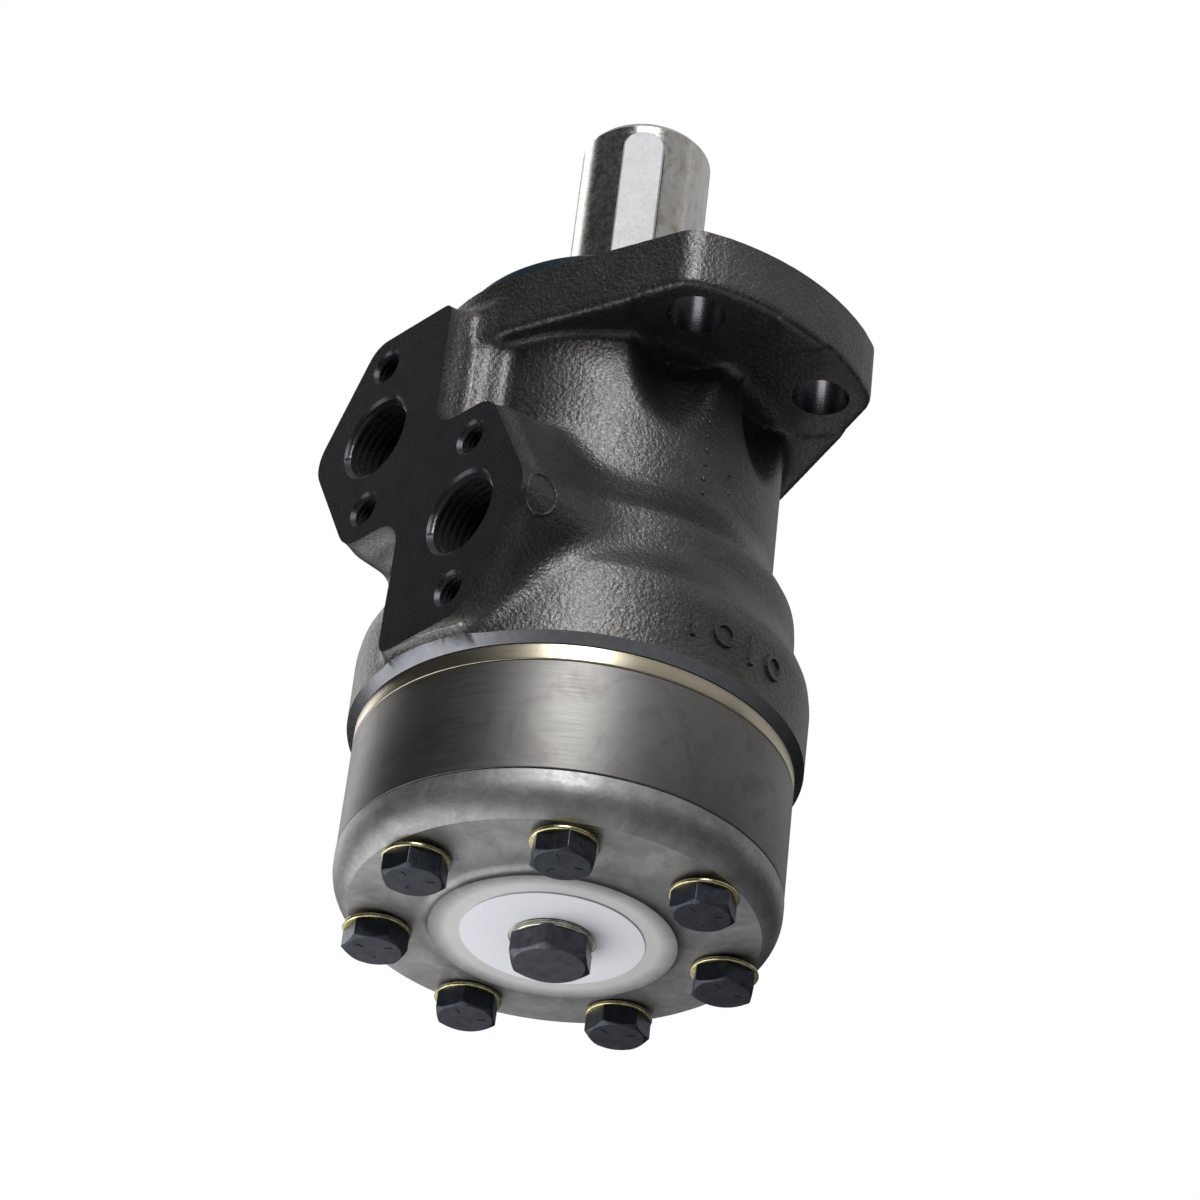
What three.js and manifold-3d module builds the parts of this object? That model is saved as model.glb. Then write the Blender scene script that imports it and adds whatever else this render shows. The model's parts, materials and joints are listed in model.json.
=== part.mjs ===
// Orbital hydraulic motor with a roller gear set. The output shaft and its spool turn in a cast housing
// with an oval mounting flange and two threaded ports. Behind the housing are a distributor plate, a
// stator ring with seven rollers round a six-lobed rotor, and an end cover held by seven bolts.
// Millimetres. The origin is on the shaft axis in the flange's mounting face, +Z points out along the
// shaft, the ports face -Y and the flange is longest along X.

import * as THREE from 'three';
import { mergeVertices } from 'three/addons/utils/BufferGeometryUtils.js';
import Module from 'manifold-3d';

const wasm = await Module();
wasm.setup();

// Gaps between pieces that touch or run in each other.
const JOINT_GAP = 0.15;
const RUN_GAP = 0.3;

// Mounting flange.
const FLANGE_THICKNESS = 16;
const FLANGE_END_RADIUS = 64.5;
const FLANGE_WAIST_RADIUS = 46;
const FLANGE_CORNER_ANGLE = 28;
const FLANGE_CORNER_ROUNDING = 8;
const FLANGE_ARC_ANGLE = 20;
const FLANGE_HOLE_RADIUS = 6.75;
const FLANGE_HOLE_CIRCLE = 53.2;
const FLANGE_HOLE_ANGLE = 22.5;
const SPOT_POCKET_RADIUS = 12.5;
const SPOT_POCKET_DEPTH = 14;

// Housing body, as radius and height pairs from the flange to the rear face.
const HOUSING_REAR = -107;
const HOUSING_OUTLINE = [
  [46, -1], [45.6, -15.5], [43, -18.5], [40.8, -28], [40.8, -54], [42.2, -58], [45.3, -64],
  [47, -68], [47.4, -75], [48.7, -80], [51.4, -86], [52.1, -90], [51.8, -105], [49.9, HOUSING_REAR],
];

// Port block: half of its outline as x, z and corner rounding; the other half is the same, turned half
// a turn about the block's centre.
const PORT_FACE_Y = -54;
const PORT_BLOCK_BACK_Y = -10;
const PORT_BLOCK_CENTRE = [-2.25, -55.4];
const PORT_BLOCK_HALF = [
  [1.6, -8.2, 2.5], [-25.6, -8.2, 7], [-43, -35.9, 9], [-26, -65.9, 8], [-6.1, -65.9, 7],
];
const PORTS = [[-20.7, -36.8], [15.9, -74]];
const PORT_RADIUS = 10.5;
const PORT_DEPTH = 15;
const PORT_PASSAGE_RADIUS = 6;
const PORT_PASSAGE_END_Y = -12;
const PORT_SCREW_OFFSET = 20.4;
const PORT_SCREW_RADIUS = 3.4;
const PORT_SCREW_DEPTH = 13;

// Housing bores and oil ways.
const CHAMBER_RADIUS = 29.5;
const CHAMBER_DEPTH = 21;
const SPOOL_BORE_RADIUS = 20.3;
const GROOVE_RADIUS = 24;
const GROOVE_WIDTH = 9;
const TIMING_HOLE_CIRCLE = 27.5;
const TIMING_HOLE_RADIUS = 3;
const TIMING_HOLE_TOP = -88;
const TIMING_SLOT_WIDTH = 5;

// Front cover and what it holds.
const PILOT_RADIUS = 41.25;
const PILOT_HEIGHT = 8;
const SPIGOT_RADIUS = 29.2;
const SPIGOT_DEPTH = 8;
const COVER_SCREW_CIRCLE = 35;
const COVER_SCREW_COUNT = 6;
const COVER_SCREW_LENGTH = 16;
const COVER_SCREW_HEAD_RADIUS = 5;
const COVER_SCREW_HEAD_HEIGHT = 6;
const COVER_SCREW_RADIUS = 3;
const COVER_SCREW_SEAT_Z = 1.4;
const COVER_SCREW_SOCKET = 5;
const COVER_SCREW_SOCKET_DEPTH = 3;
const FRONT_RING_Z = -4.2;
const FRONT_RING_SECTION = 0.8;
const FRONT_GROOVE_DEPTH = 2.1;
const FRONT_GROOVE_HALF_WIDTH = 1.2;
const SHAFT_SEAL_POCKET_RADIUS = 22;
const SHAFT_SEAL_Z = [-3, 3.2];
const DUST_SEAL_POCKET_RADIUS = 21;
const DUST_SEAL_Z = [4.6, 7.8];

// Output shaft and key.
const SHAFT_RADIUS = 16;
const SHAFT_END = 70;
const SHAFT_CHAMFER = 1.2;
const SHAFT_COLLAR_RADIUS = 26;
const SHAFT_COLLAR_Z = [-19.5, -13.5];
const SPOOL_RADIUS = 20;
const SPOOL_END = -104;
const SPOOL_HOLLOW_RADIUS = 15;
const SPOOL_HOLLOW_TOP = -30;
const SPOOL_SLOT_COUNT = 12;
const SPOOL_SLOT_WIDTH = 4;
const SPOOL_SLOT_DEPTH = 2;
const SPOOL_SLOT_END = -95;
const KEY_WIDTH = 10;
const KEY_LENGTH = 45;
const KEY_HEIGHT = 8;
const KEY_PROUD = 3;
const KEY_END = 64;
const KEY_AZIMUTH = -43;
const CENTRE_HOLE_RADIUS = 4;
const CENTRE_HOLE_DEPTH = 20;

// Thrust bearing between the shaft collar and the front cover.
const BEARING_RACE_Z = [-9.8, -8.3];
const BEARING_CAGE_Z = [-13.1, -10.1];
const BEARING_RADII = [17.5, 27];
const NEEDLE_COUNT = 12;

// Gear set. The rotor's profile is cut by the rollers as it orbits.
const GEAR_RADIUS = 50.1;
const PLATE_Z = [-111.15, -107.15];
const STATOR_Z = [-138.4, -111.3];
const GEAR_END_GAP = 0.3;
const ROLLER_COUNT = 7;
const ROLLER_CIRCLE = 31.5;
const ROLLER_RADIUS = 7.3;
const ECCENTRICITY = 3;
const ROTOR_LOBES = 6;
const ROTOR_STEPS_PER_LOBE = 20;
const ROTOR_ROLLER_GAP = 0.35;
const STATOR_BORE_RADIUS = 30.8;
const PLATE_BORE_RADIUS = 14;

// Cardan shaft between the spool's splines and the rotor's splines.
const SPLINE_TEETH = 12;
const SPLINE_ROOT_RADIUS = 10.3;
const SPLINE_TIP_RADIUS = 12.3;
const SPLINE_CLEARANCE = 0.6;
const CARDAN_BODY_RADIUS = 8.5;
const CARDAN_APEX_Z = -45;
const CARDAN_FRONT_TEETH = [-53, -37];
const CARDAN_REAR_TEETH = [-132, -116];
const SPACER_RADIUS = 10;

// End cover, bolts and drain plug.
const END_COVER_Z = [-150.1, -138.55];
const END_COVER_RADIUS = 50.2;
const END_COVER_ROUNDING = 9;
const BOSS_RADIUS = 27.3;
const BOSS_FOOT_RADIUS = 30.4;
const BOSS_HEIGHT = 1.8;
const BOLT_COUNT = 7;
const BOLT_CIRCLE = 39.8;
const BOLT_AZIMUTH = 12.5;
const BOLT_RADIUS = 4;
const BOLT_HOLE_RADIUS = 4.5;
const BOLT_ACROSS_FLATS = 13;
const BOLT_HEAD_HEIGHT = 4.6;
const BOLT_TIP = -88;
const WASHER_RADIUS = 7.7;
const WASHER_THICKNESS = 1;
const LABEL_RADII = [9.8, 20.6];
const LABEL_THICKNESS = 0.3;
const PLUG_RADIUS = 6.5;
const PLUG_LENGTH = 10;
const PLUG_ACROSS_FLATS = 17;
const PLUG_HEAD_HEIGHT = 5.3;
const PLUG_WASHER_RADIUS = 9.3;
const PLUG_WASHER_THICKNESS = 1.5;

// Rings of rubber in the faces between the rear pieces.
const RING_CIRCLE = 46.8;
const RING_SECTION = 0.9;
const RING_GROOVE = [45.4, 48.2];
const RING_GROOVE_DEPTH = 2.1;

// Two ball check valves in bores of the housing's rear face.
const CHECK_CIRCLE = 33;
const CHECK_BORE_RADIUS = 4.6;
const CHECK_BORE_TOP = -86;
const CHECK_BALL_RADIUS = 3.2;
const CHECK_BALL_Z = -100;
const CHECK_SEAT_Z = [-106.6, -102.7];
const CHECK_SPRING_Z = [-96.6, -86.3];
const CHECK_PASSAGE_RADIUS = 2.3;
const CHECK_SEAT_BORE_RADIUS = 2;
const CHECK_SPRING_RADIUS = 2.6;
const CHECK_SPRING_WIRE = 0.4;
const CHECK_SPRING_TURNS = 4;

// Sides of round shapes: large ones, bores and collars, and screws.
const LARGE_ROUND = 42;
const ROUND = 30;
const SMALL_ROUND = 12;
const DEGREE = Math.PI / 180;

// --- Geometry helpers ---------------------------------------------------------------------------

const polar = (radius, degrees) => [radius * Math.cos(degrees * DEGREE), radius * Math.sin(degrees * DEGREE)];

const around = (count, start = 0) =>
  Array.from({ length: count }, (_, index) => start + (index * 360) / count);

const signedArea = (points) =>
  points.reduce((sum, [x, y], index) => {
    const [nextX, nextY] = points[(index + 1) % points.length];
    return sum + (x * nextY - nextX * y) / 2;
  }, 0);

// A solid of revolution about Z from radius and height pairs. A profile off the axis closes on itself.
function revolve(profile, segments = ROUND) {
  const points = signedArea(profile) < 0 ? [...profile].reverse() : [...profile];
  const onAxis = points[0][0] === 0 && points.at(-1)[0] === 0;
  if (!onAxis) points.push(points[0]);
  const curve = points.map(([radius, height]) => new THREE.Vector2(radius, height));
  return new THREE.LatheGeometry(curve, segments).rotateX(Math.PI / 2);
}

const rod = (radius, low, high, segments = ROUND) =>
  revolve([[0, low], [radius, low], [radius, high], [0, high]], segments);

const ring = (inner, outer, low, high, segments = ROUND) =>
  revolve([[inner, low], [outer, low], [outer, high], [inner, high]], segments);

// A straight prism over an outline in the XY plane.
function prism(outline, low, high, holes = []) {
  const shape = new THREE.Shape(outline.map(([x, y]) => new THREE.Vector2(x, y)));
  for (const hole of holes) shape.holes.push(new THREE.Path(hole.map(([x, y]) => new THREE.Vector2(x, y))));
  return new THREE.ExtrudeGeometry(shape, { depth: high - low, bevelEnabled: false }).translate(0, 0, low);
}

const hexagon = (acrossFlats, turn = 0) =>
  around(6, turn).map((degrees) => polar(acrossFlats / Math.sqrt(3), degrees));

// A solid through sections of equal point count, each { z, outline }, capped by fans.
function loft(sections) {
  const count = sections[0].outline.length;
  const positions = [];
  const index = [];
  for (const { z, outline } of sections) for (const [x, y] of outline) positions.push(x, y, z);
  const bottom = positions.length / 3;
  positions.push(0, 0, sections[0].z, 0, 0, sections.at(-1).z);
  const topRing = (sections.length - 1) * count;
  for (let i = 0; i < count; i += 1) {
    const next = (i + 1) % count;
    for (let level = 0; level < sections.length - 1; level += 1) {
      const low = level * count;
      const high = low + count;
      index.push(low + i, low + next, high + next, low + i, high + next, high + i);
    }
    index.push(bottom, next, i, bottom + 1, topRing + i, topRing + next);
  }
  const geometry = new THREE.BufferGeometry();
  geometry.setAttribute('position', new THREE.Float32BufferAttribute(positions, 3));
  geometry.setIndex(index);
  return geometry;
}

// A closed outline through corners given as x, y and rounding radius. A radius of 0 keeps the corner.
function roundedOutline(corners, steps = 5) {
  return corners.flatMap(([x, y, radius], index) => {
    if (radius === 0) return [[x, y]];
    const corner = new THREE.Vector2(x, y);
    const before = new THREE.Vector2(...corners.at(index - 1)).sub(corner).normalize();
    const after = new THREE.Vector2(...corners[(index + 1) % corners.length]).sub(corner).normalize();
    const half = Math.acos(before.dot(after)) / 2;
    const bisector = before.clone().add(after).normalize();
    const centre = corner.clone().addScaledVector(bisector, radius / Math.sin(half));
    const start = corner.clone().addScaledVector(before, radius / Math.tan(half)).sub(centre).angle();
    const end = corner.clone().addScaledVector(after, radius / Math.tan(half)).sub(centre).angle();
    const sweep = THREE.MathUtils.euclideanModulo(end - start + Math.PI, 2 * Math.PI) - Math.PI;
    return Array.from({ length: steps + 1 }, (_, step) => {
      const angle = start + (sweep * step) / steps;
      return [centre.x + radius * Math.cos(angle), centre.y + radius * Math.sin(angle)];
    });
  });
}

// Twelve-point trapezoid teeth between a root and a tip circle. Widths are shares of the tooth pitch.
function splineOutline(root, tip, rootWidth, tipWidth) {
  const pitch = 360 / SPLINE_TEETH;
  return around(SPLINE_TEETH).flatMap((middle) => [
    polar(root, middle - (rootWidth * pitch) / 2),
    polar(tip, middle - (tipWidth * pitch) / 2),
    polar(tip, middle + (tipWidth * pitch) / 2),
    polar(root, middle + (rootWidth * pitch) / 2),
  ]);
}

// The hole that the cardan shaft's teeth work in.
const splineHole = () =>
  splineOutline(SPLINE_ROOT_RADIUS + SPLINE_CLEARANCE, SPLINE_TIP_RADIUS + SPLINE_CLEARANCE, 0.64, 0.44);

function solid(geometry) {
  geometry.deleteAttribute('normal');
  geometry.deleteAttribute('uv');
  const merged = mergeVertices(geometry, 1e-4);
  const index = merged.index.array;
  const triangles = [];
  for (let i = 0; i < index.length; i += 3) {
    const [a, b, c] = index.slice(i, i + 3);
    if (a !== b && b !== c && c !== a) triangles.push(a, b, c);
  }
  const vertProperties = new Float32Array(merged.attributes.position.array);
  return new wasm.Manifold(
    new wasm.Mesh({ numProp: 3, vertProperties, triVerts: new Uint32Array(triangles) }),
  );
}

const join = (...geometries) => geometries.map(solid).reduce((sum, next) => sum.add(next));

const cut = (body, geometries) => geometries.map(solid).reduce((rest, tool) => rest.subtract(tool), body);

function geometryOf(manifold) {
  const { vertProperties, triVerts } = manifold.getMesh();
  const geometry = new THREE.BufferGeometry();
  geometry.setAttribute('position', new THREE.Float32BufferAttribute(vertProperties, 3));
  geometry.setIndex(new THREE.Uint32BufferAttribute(triVerts, 1));
  return geometry;
}

const material = (color, roughness, metalness) =>
  new THREE.MeshStandardMaterial({ color, roughness, metalness, flatShading: true });

const castIron = material(0x37373b, 0.6, 0.5);
const groundSteel = material(0x55555a, 0.35, 0.9);
const brightSteel = material(0xa8a49e, 0.25, 1);
const hardSteel = material(0x8d8f94, 0.25, 1);
const goldPlate = material(0x8a7a5a, 0.35, 0.9);
const blackOxide = material(0x2b2e33, 0.4, 0.7);
const yellowZinc = material(0xb5a967, 0.35, 0.9);
const tealPaint = material(0x1d2d36, 0.4, 0.3);
const labelGrey = material(0xd2d5de, 0.5, 0);
const blackRubber = material(0x161616, 0.8, 0);

const motor = new THREE.Group();

function addPiece(name, shape, finish, parent = motor) {
  const geometry = shape instanceof THREE.BufferGeometry ? shape : geometryOf(shape);
  const mesh = new THREE.Mesh(geometry, finish);
  mesh.name = name;
  parent.add(mesh);
  return mesh;
}

const boltAngles = around(BOLT_COUNT, BOLT_AZIMUTH);
const rollerAngles = around(ROLLER_COUNT, BOLT_AZIMUTH + 180 / ROLLER_COUNT);
const checkAngles = [rollerAngles.at(-1), rollerAngles[3]];

const boltHoles = (low, high) =>
  boltAngles.map((degrees) =>
    rod(BOLT_HOLE_RADIUS, low, high, SMALL_ROUND).translate(...polar(BOLT_CIRCLE, degrees), 0));

// --- Housing ------------------------------------------------------------------------------------

// Each end is an arc about the shaft axis, and straight edges run from its corners to a central circle.
function flangeOutline() {
  const reach = Math.acos(FLANGE_WAIST_RADIUS / FLANGE_END_RADIUS) / DEGREE;
  const tangent = FLANGE_CORNER_ANGLE + reach;
  const half = [
    [...polar(FLANGE_END_RADIUS, -FLANGE_CORNER_ANGLE), FLANGE_CORNER_ROUNDING],
    ...[-1, -0.6, -0.2, 0.2, 0.6, 1].map((share) => [...polar(FLANGE_END_RADIUS, FLANGE_ARC_ANGLE * share), 0]),
    [...polar(FLANGE_END_RADIUS, FLANGE_CORNER_ANGLE), FLANGE_CORNER_ROUNDING],
    ...[1, 0.33, -0.33, -1].map((share) =>
      [...polar(FLANGE_WAIST_RADIUS, 90 - (90 - tangent) * share), 0]),
  ];
  return roundedOutline([...half, ...half.map(([x, y, radius]) => [-x, -y, radius])]);
}

function portOutline() {
  const [centreX, centreZ] = PORT_BLOCK_CENTRE;
  const other = PORT_BLOCK_HALF.map(([x, z, radius]) => [2 * centreX - x, 2 * centreZ - z, radius]);
  return roundedOutline([...PORT_BLOCK_HALF, ...other]);
}

// Turns a shape that is made along Z so that its +Z end comes out of the port face at x, z.
const fromPortFace = (geometry, x, z) => geometry.rotateX(Math.PI / 2).translate(x, PORT_FACE_Y, z);

function portCuts() {
  return PORTS.flatMap(([x, z]) => [
    fromPortFace(rod(PORT_RADIUS, -PORT_DEPTH, 2, 24), x, z),
    fromPortFace(rod(PORT_PASSAGE_RADIUS, PORT_FACE_Y - PORT_PASSAGE_END_Y, 0, SMALL_ROUND), x, z),
    ...[-1, 1].map((side) =>
      fromPortFace(
        rod(PORT_SCREW_RADIUS, -PORT_SCREW_DEPTH, 2, SMALL_ROUND), x, z + side * PORT_SCREW_OFFSET)),
  ]);
}

// The two passages end in the ring grooves, and each valve bore is drilled on to one of them.
function oilWayCuts() {
  const grooves = PORTS.map(([, z]) =>
    ring(SPOOL_BORE_RADIUS - 1, GROOVE_RADIUS, z - GROOVE_WIDTH / 2, z + GROOVE_WIDTH / 2));
  const timing = boltAngles.flatMap((degrees) => [
    rod(TIMING_HOLE_RADIUS, HOUSING_REAR - 1, TIMING_HOLE_TOP, 8)
      .translate(...polar(TIMING_HOLE_CIRCLE, degrees), 0),
    new THREE.BoxGeometry(TIMING_HOLE_CIRCLE - SPOOL_BORE_RADIUS + 2, TIMING_SLOT_WIDTH, 6)
      .translate((TIMING_HOLE_CIRCLE + SPOOL_BORE_RADIUS - 2) / 2, 0, TIMING_HOLE_TOP - 3)
      .rotateZ(degrees * DEGREE),
  ]);
  const checks = checkAngles.flatMap((degrees, index) => {
    const groove = PORTS[index][1];
    const [x, y] = polar(CHECK_CIRCLE, degrees);
    return [
      rod(CHECK_BORE_RADIUS, HOUSING_REAR - 1, CHECK_BORE_TOP, SMALL_ROUND).translate(x, y, 0),
      rod(CHECK_PASSAGE_RADIUS, CHECK_BORE_TOP - 1, groove - 2, 8).translate(x, y, 0),
      rod(CHECK_PASSAGE_RADIUS, GROOVE_RADIUS - 2, CHECK_CIRCLE + 1, 8)
        .rotateY(Math.PI / 2).translate(0, 0, groove).rotateZ(degrees * DEGREE),
      new THREE.BoxGeometry(CHECK_CIRCLE - SPOOL_BORE_RADIUS + 2, 3, 3)
        .translate((CHECK_CIRCLE + SPOOL_BORE_RADIUS - 2) / 2, 0, HOUSING_REAR)
        .rotateZ(degrees * DEGREE),
    ];
  });
  return [...grooves, ...timing, ...checks];
}

function flangeCuts() {
  const angles = [1, -1].flatMap((side) => [side * FLANGE_HOLE_ANGLE, 180 + side * FLANGE_HOLE_ANGLE]);
  return angles.flatMap((degrees) => {
    const [x, y] = polar(FLANGE_HOLE_CIRCLE, degrees);
    const floor = -FLANGE_THICKNESS - SPOT_POCKET_DEPTH;
    return [
      rod(FLANGE_HOLE_RADIUS, -FLANGE_THICKNESS - 1, 1, 20).translate(x, y, 0),
      rod(SPOT_POCKET_RADIUS, floor, -FLANGE_THICKNESS, 20).translate(x, y, 0),
      new THREE.SphereGeometry(SPOT_POCKET_RADIUS, 20, 8).rotateX(Math.PI / 2).translate(x, y, floor),
    ];
  });
}

function housing() {
  const barrel = revolve([[0, -1], ...HOUSING_OUTLINE, [0, HOUSING_REAR]], LARGE_ROUND);
  const flange = prism(flangeOutline(), -FLANGE_THICKNESS, 0);
  const block = prism(portOutline(), -PORT_BLOCK_BACK_Y, -PORT_FACE_Y).rotateX(Math.PI / 2);
  return cut(join(barrel, flange, block), [
    rod(CHAMBER_RADIUS, -CHAMBER_DEPTH, 1),
    rod(SPOOL_BORE_RADIUS, HOUSING_REAR - 1, -CHAMBER_DEPTH + 1),
    ring(...RING_GROOVE, HOUSING_REAR - 1, HOUSING_REAR + RING_GROOVE_DEPTH),
    ...around(COVER_SCREW_COUNT).map((degrees) =>
      rod(COVER_SCREW_RADIUS + RUN_GAP, -COVER_SCREW_LENGTH, 1, 8)
        .translate(...polar(COVER_SCREW_CIRCLE, degrees), 0)),
    ...boltHoles(HOUSING_REAR - 1, BOLT_TIP + 3),
    ...flangeCuts(),
    ...portCuts(),
    ...oilWayCuts(),
  ]);
}

// --- Front cover and shaft ----------------------------------------------------------------------

function frontCover() {
  const shaftHole = SHAFT_RADIUS + RUN_GAP;
  const grooveLow = FRONT_RING_Z - FRONT_GROOVE_HALF_WIDTH;
  const grooveHigh = FRONT_RING_Z + FRONT_GROOVE_HALF_WIDTH;
  const profile = [
    [shaftHole, -SPIGOT_DEPTH], [SPIGOT_RADIUS, -SPIGOT_DEPTH],
    [SPIGOT_RADIUS, grooveLow], [SPIGOT_RADIUS - FRONT_GROOVE_DEPTH, grooveLow],
    [SPIGOT_RADIUS - FRONT_GROOVE_DEPTH, grooveHigh], [SPIGOT_RADIUS, grooveHigh],
    [SPIGOT_RADIUS, JOINT_GAP], [PILOT_RADIUS, JOINT_GAP],
    [PILOT_RADIUS, PILOT_HEIGHT - 1], [PILOT_RADIUS - 1, PILOT_HEIGHT],
    [DUST_SEAL_POCKET_RADIUS, PILOT_HEIGHT], [DUST_SEAL_POCKET_RADIUS, DUST_SEAL_Z[0] - JOINT_GAP],
    [shaftHole, DUST_SEAL_Z[0] - JOINT_GAP], [shaftHole, SHAFT_SEAL_Z[1] + JOINT_GAP],
    [SHAFT_SEAL_POCKET_RADIUS, SHAFT_SEAL_Z[1] + JOINT_GAP],
    [SHAFT_SEAL_POCKET_RADIUS, SHAFT_SEAL_Z[0] - JOINT_GAP], [shaftHole, SHAFT_SEAL_Z[0] - JOINT_GAP],
  ];
  const screwHoles = around(COVER_SCREW_COUNT).flatMap((degrees) => {
    const [x, y] = polar(COVER_SCREW_CIRCLE, degrees);
    return [
      rod(COVER_SCREW_RADIUS + RUN_GAP, -1, PILOT_HEIGHT + 1, 8).translate(x, y, 0),
      rod(COVER_SCREW_HEAD_RADIUS + RUN_GAP, COVER_SCREW_SEAT_Z, PILOT_HEIGHT + 1, SMALL_ROUND)
        .translate(x, y, 0),
    ];
  });
  return cut(solid(revolve(profile)), screwHoles);
}

function coverScrew(x, y) {
  const headLow = COVER_SCREW_SEAT_Z + JOINT_GAP;
  const headHigh = headLow + COVER_SCREW_HEAD_HEIGHT;
  const body = join(
    rod(COVER_SCREW_HEAD_RADIUS, headLow, headHigh, SMALL_ROUND).translate(x, y, 0),
    rod(COVER_SCREW_RADIUS, -COVER_SCREW_LENGTH + 2, headLow + 1, 8).translate(x, y, 0),
  );
  const socket = prism(hexagon(COVER_SCREW_SOCKET), headHigh - COVER_SCREW_SOCKET_DEPTH, headHigh + 1);
  return cut(body, [socket.translate(x, y, 0)]);
}

// A rubber ring with a lip that points along the shaft.
const lipSeal = (outer, [low, high]) => {
  const lip = SHAFT_RADIUS + RUN_GAP;
  const web = (high - low) * 0.35;
  return revolve([
    [lip, low], [lip + 1.6, high - web], [outer - 1.2, high - web], [outer - 1.2, low],
    [outer, low], [outer, high], [lip + 0.6, high],
  ], 20);
};

const sealRing = (circle, section, z, segments) =>
  new THREE.TorusGeometry(circle, section, 4, segments).translate(0, 0, z);

// A key outline with round ends, standing on the shaft's axis plane, pointing along +X before it is turned.
function keyShape(clearance) {
  const half = KEY_WIDTH / 2 + clearance;
  const low = KEY_END - KEY_LENGTH;
  const arc = (centre, start) =>
    around(7).map((_, step) => {
      const angle = (start + step * 30) * DEGREE;
      return [half * Math.cos(angle), centre + half * Math.sin(angle)];
    });
  return [...arc(KEY_END - KEY_WIDTH / 2, 0), ...arc(low + KEY_WIDTH / 2, 180)];
}

function keySolid(clearance) {
  const top = SHAFT_RADIUS + KEY_PROUD;
  const bottom = top - KEY_HEIGHT - clearance;
  return prism(keyShape(clearance), bottom, top)
    .rotateX(Math.PI / 2).rotateZ(Math.PI / 2).rotateZ(KEY_AZIMUTH * DEGREE);
}

function outputShaft() {
  const [collarLow, collarHigh] = SHAFT_COLLAR_Z;
  const outside = revolve([
    [0, SPOOL_END], [SPOOL_RADIUS - 0.8, SPOOL_END], [SPOOL_RADIUS, SPOOL_END + 0.8],
    [SPOOL_RADIUS, collarLow], [SHAFT_COLLAR_RADIUS, collarLow], [SHAFT_COLLAR_RADIUS, collarHigh],
    [SHAFT_RADIUS + 1, collarHigh], [SHAFT_RADIUS, collarHigh + 2],
    [SHAFT_RADIUS, SHAFT_END - SHAFT_CHAMFER], [SHAFT_RADIUS - SHAFT_CHAMFER, SHAFT_END], [0, SHAFT_END],
  ]);
  const [teethLow, teethHigh] = CARDAN_FRONT_TEETH;
  const slots = around(SPOOL_SLOT_COUNT).map((degrees, index) => {
    const top = PORTS[index % 2][1];
    return new THREE.BoxGeometry(SPOOL_SLOT_DEPTH * 2, SPOOL_SLOT_WIDTH, top - SPOOL_SLOT_END)
      .translate(SPOOL_RADIUS, 0, (top + SPOOL_SLOT_END) / 2).rotateZ(degrees * DEGREE);
  });
  return cut(solid(outside), [
    rod(SPOOL_HOLLOW_RADIUS, SPOOL_END - 1, teethLow - 3, 24),
    prism(splineHole(), teethLow - 4, teethHigh + 3).rotateZ(BOLT_AZIMUTH * DEGREE),
    rod(SPLINE_TIP_RADIUS - 1, teethHigh + 2, SPOOL_HOLLOW_TOP, 24),
    rod(CENTRE_HOLE_RADIUS, SHAFT_END - CENTRE_HOLE_DEPTH, SHAFT_END + 1, SMALL_ROUND),
    keySolid(RUN_GAP),
    ...slots,
  ]);
}

function thrustCage() {
  const [inner, outer] = BEARING_RADII;
  const [low, high] = BEARING_CAGE_Z;
  const pockets = around(NEEDLE_COUNT).map((degrees) =>
    new THREE.BoxGeometry(outer - inner - 3, 1.6, 1).translate((inner + outer) / 2, 0, low)
      .rotateZ(degrees * DEGREE));
  return cut(solid(ring(inner, outer, low, high, 24)), pockets);
}

// --- Gear set -----------------------------------------------------------------------------------

// The rotor's outline is the roller centres' path as the rotor sees it, moved in by the roller radius.
function rotorOutline() {
  const inset = ROLLER_RADIUS + ROTOR_ROLLER_GAP;
  return around(ROTOR_LOBES * ROTOR_STEPS_PER_LOBE).map((degrees) => {
    const [x, y] = polar(ROLLER_CIRCLE, degrees);
    const [wobbleX, wobbleY] = polar(ECCENTRICITY, ROLLER_COUNT * degrees - 180);
    const [alongX, alongY] = [-y + ROLLER_COUNT * wobbleY, x - ROLLER_COUNT * wobbleX];
    const length = Math.hypot(alongX, alongY);
    return [x - wobbleX - (inset * alongY) / length, y - wobbleY + (inset * alongX) / length];
  });
}

function distributorPlate() {
  return cut(solid(ring(PLATE_BORE_RADIUS, GEAR_RADIUS, ...PLATE_Z, LARGE_ROUND)), [
    ...boltHoles(PLATE_Z[0] - 1, PLATE_Z[1] + 1),
    ...boltAngles.map((degrees) =>
      rod(TIMING_HOLE_RADIUS, PLATE_Z[0] - 1, PLATE_Z[1] + 1, 8)
        .translate(...polar(TIMING_HOLE_CIRCLE, degrees), 0)),
  ]);
}

function statorRing() {
  return cut(solid(ring(STATOR_BORE_RADIUS, GEAR_RADIUS, ...STATOR_Z, LARGE_ROUND)), [
    ...boltHoles(STATOR_Z[0] - 1, STATOR_Z[1] + 1),
    ...rollerAngles.map((degrees) =>
      rod(ROLLER_RADIUS + RUN_GAP, STATOR_Z[0] - 1, STATOR_Z[1] + 1, 20)
        .translate(...polar(ROLLER_CIRCLE, degrees), 0)),
    ring(...RING_GROOVE, STATOR_Z[1] - RING_GROOVE_DEPTH, STATOR_Z[1] + 1),
  ]);
}

const gearHeights = [STATOR_Z[0] + GEAR_END_GAP, STATOR_Z[1] - GEAR_END_GAP];

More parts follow.
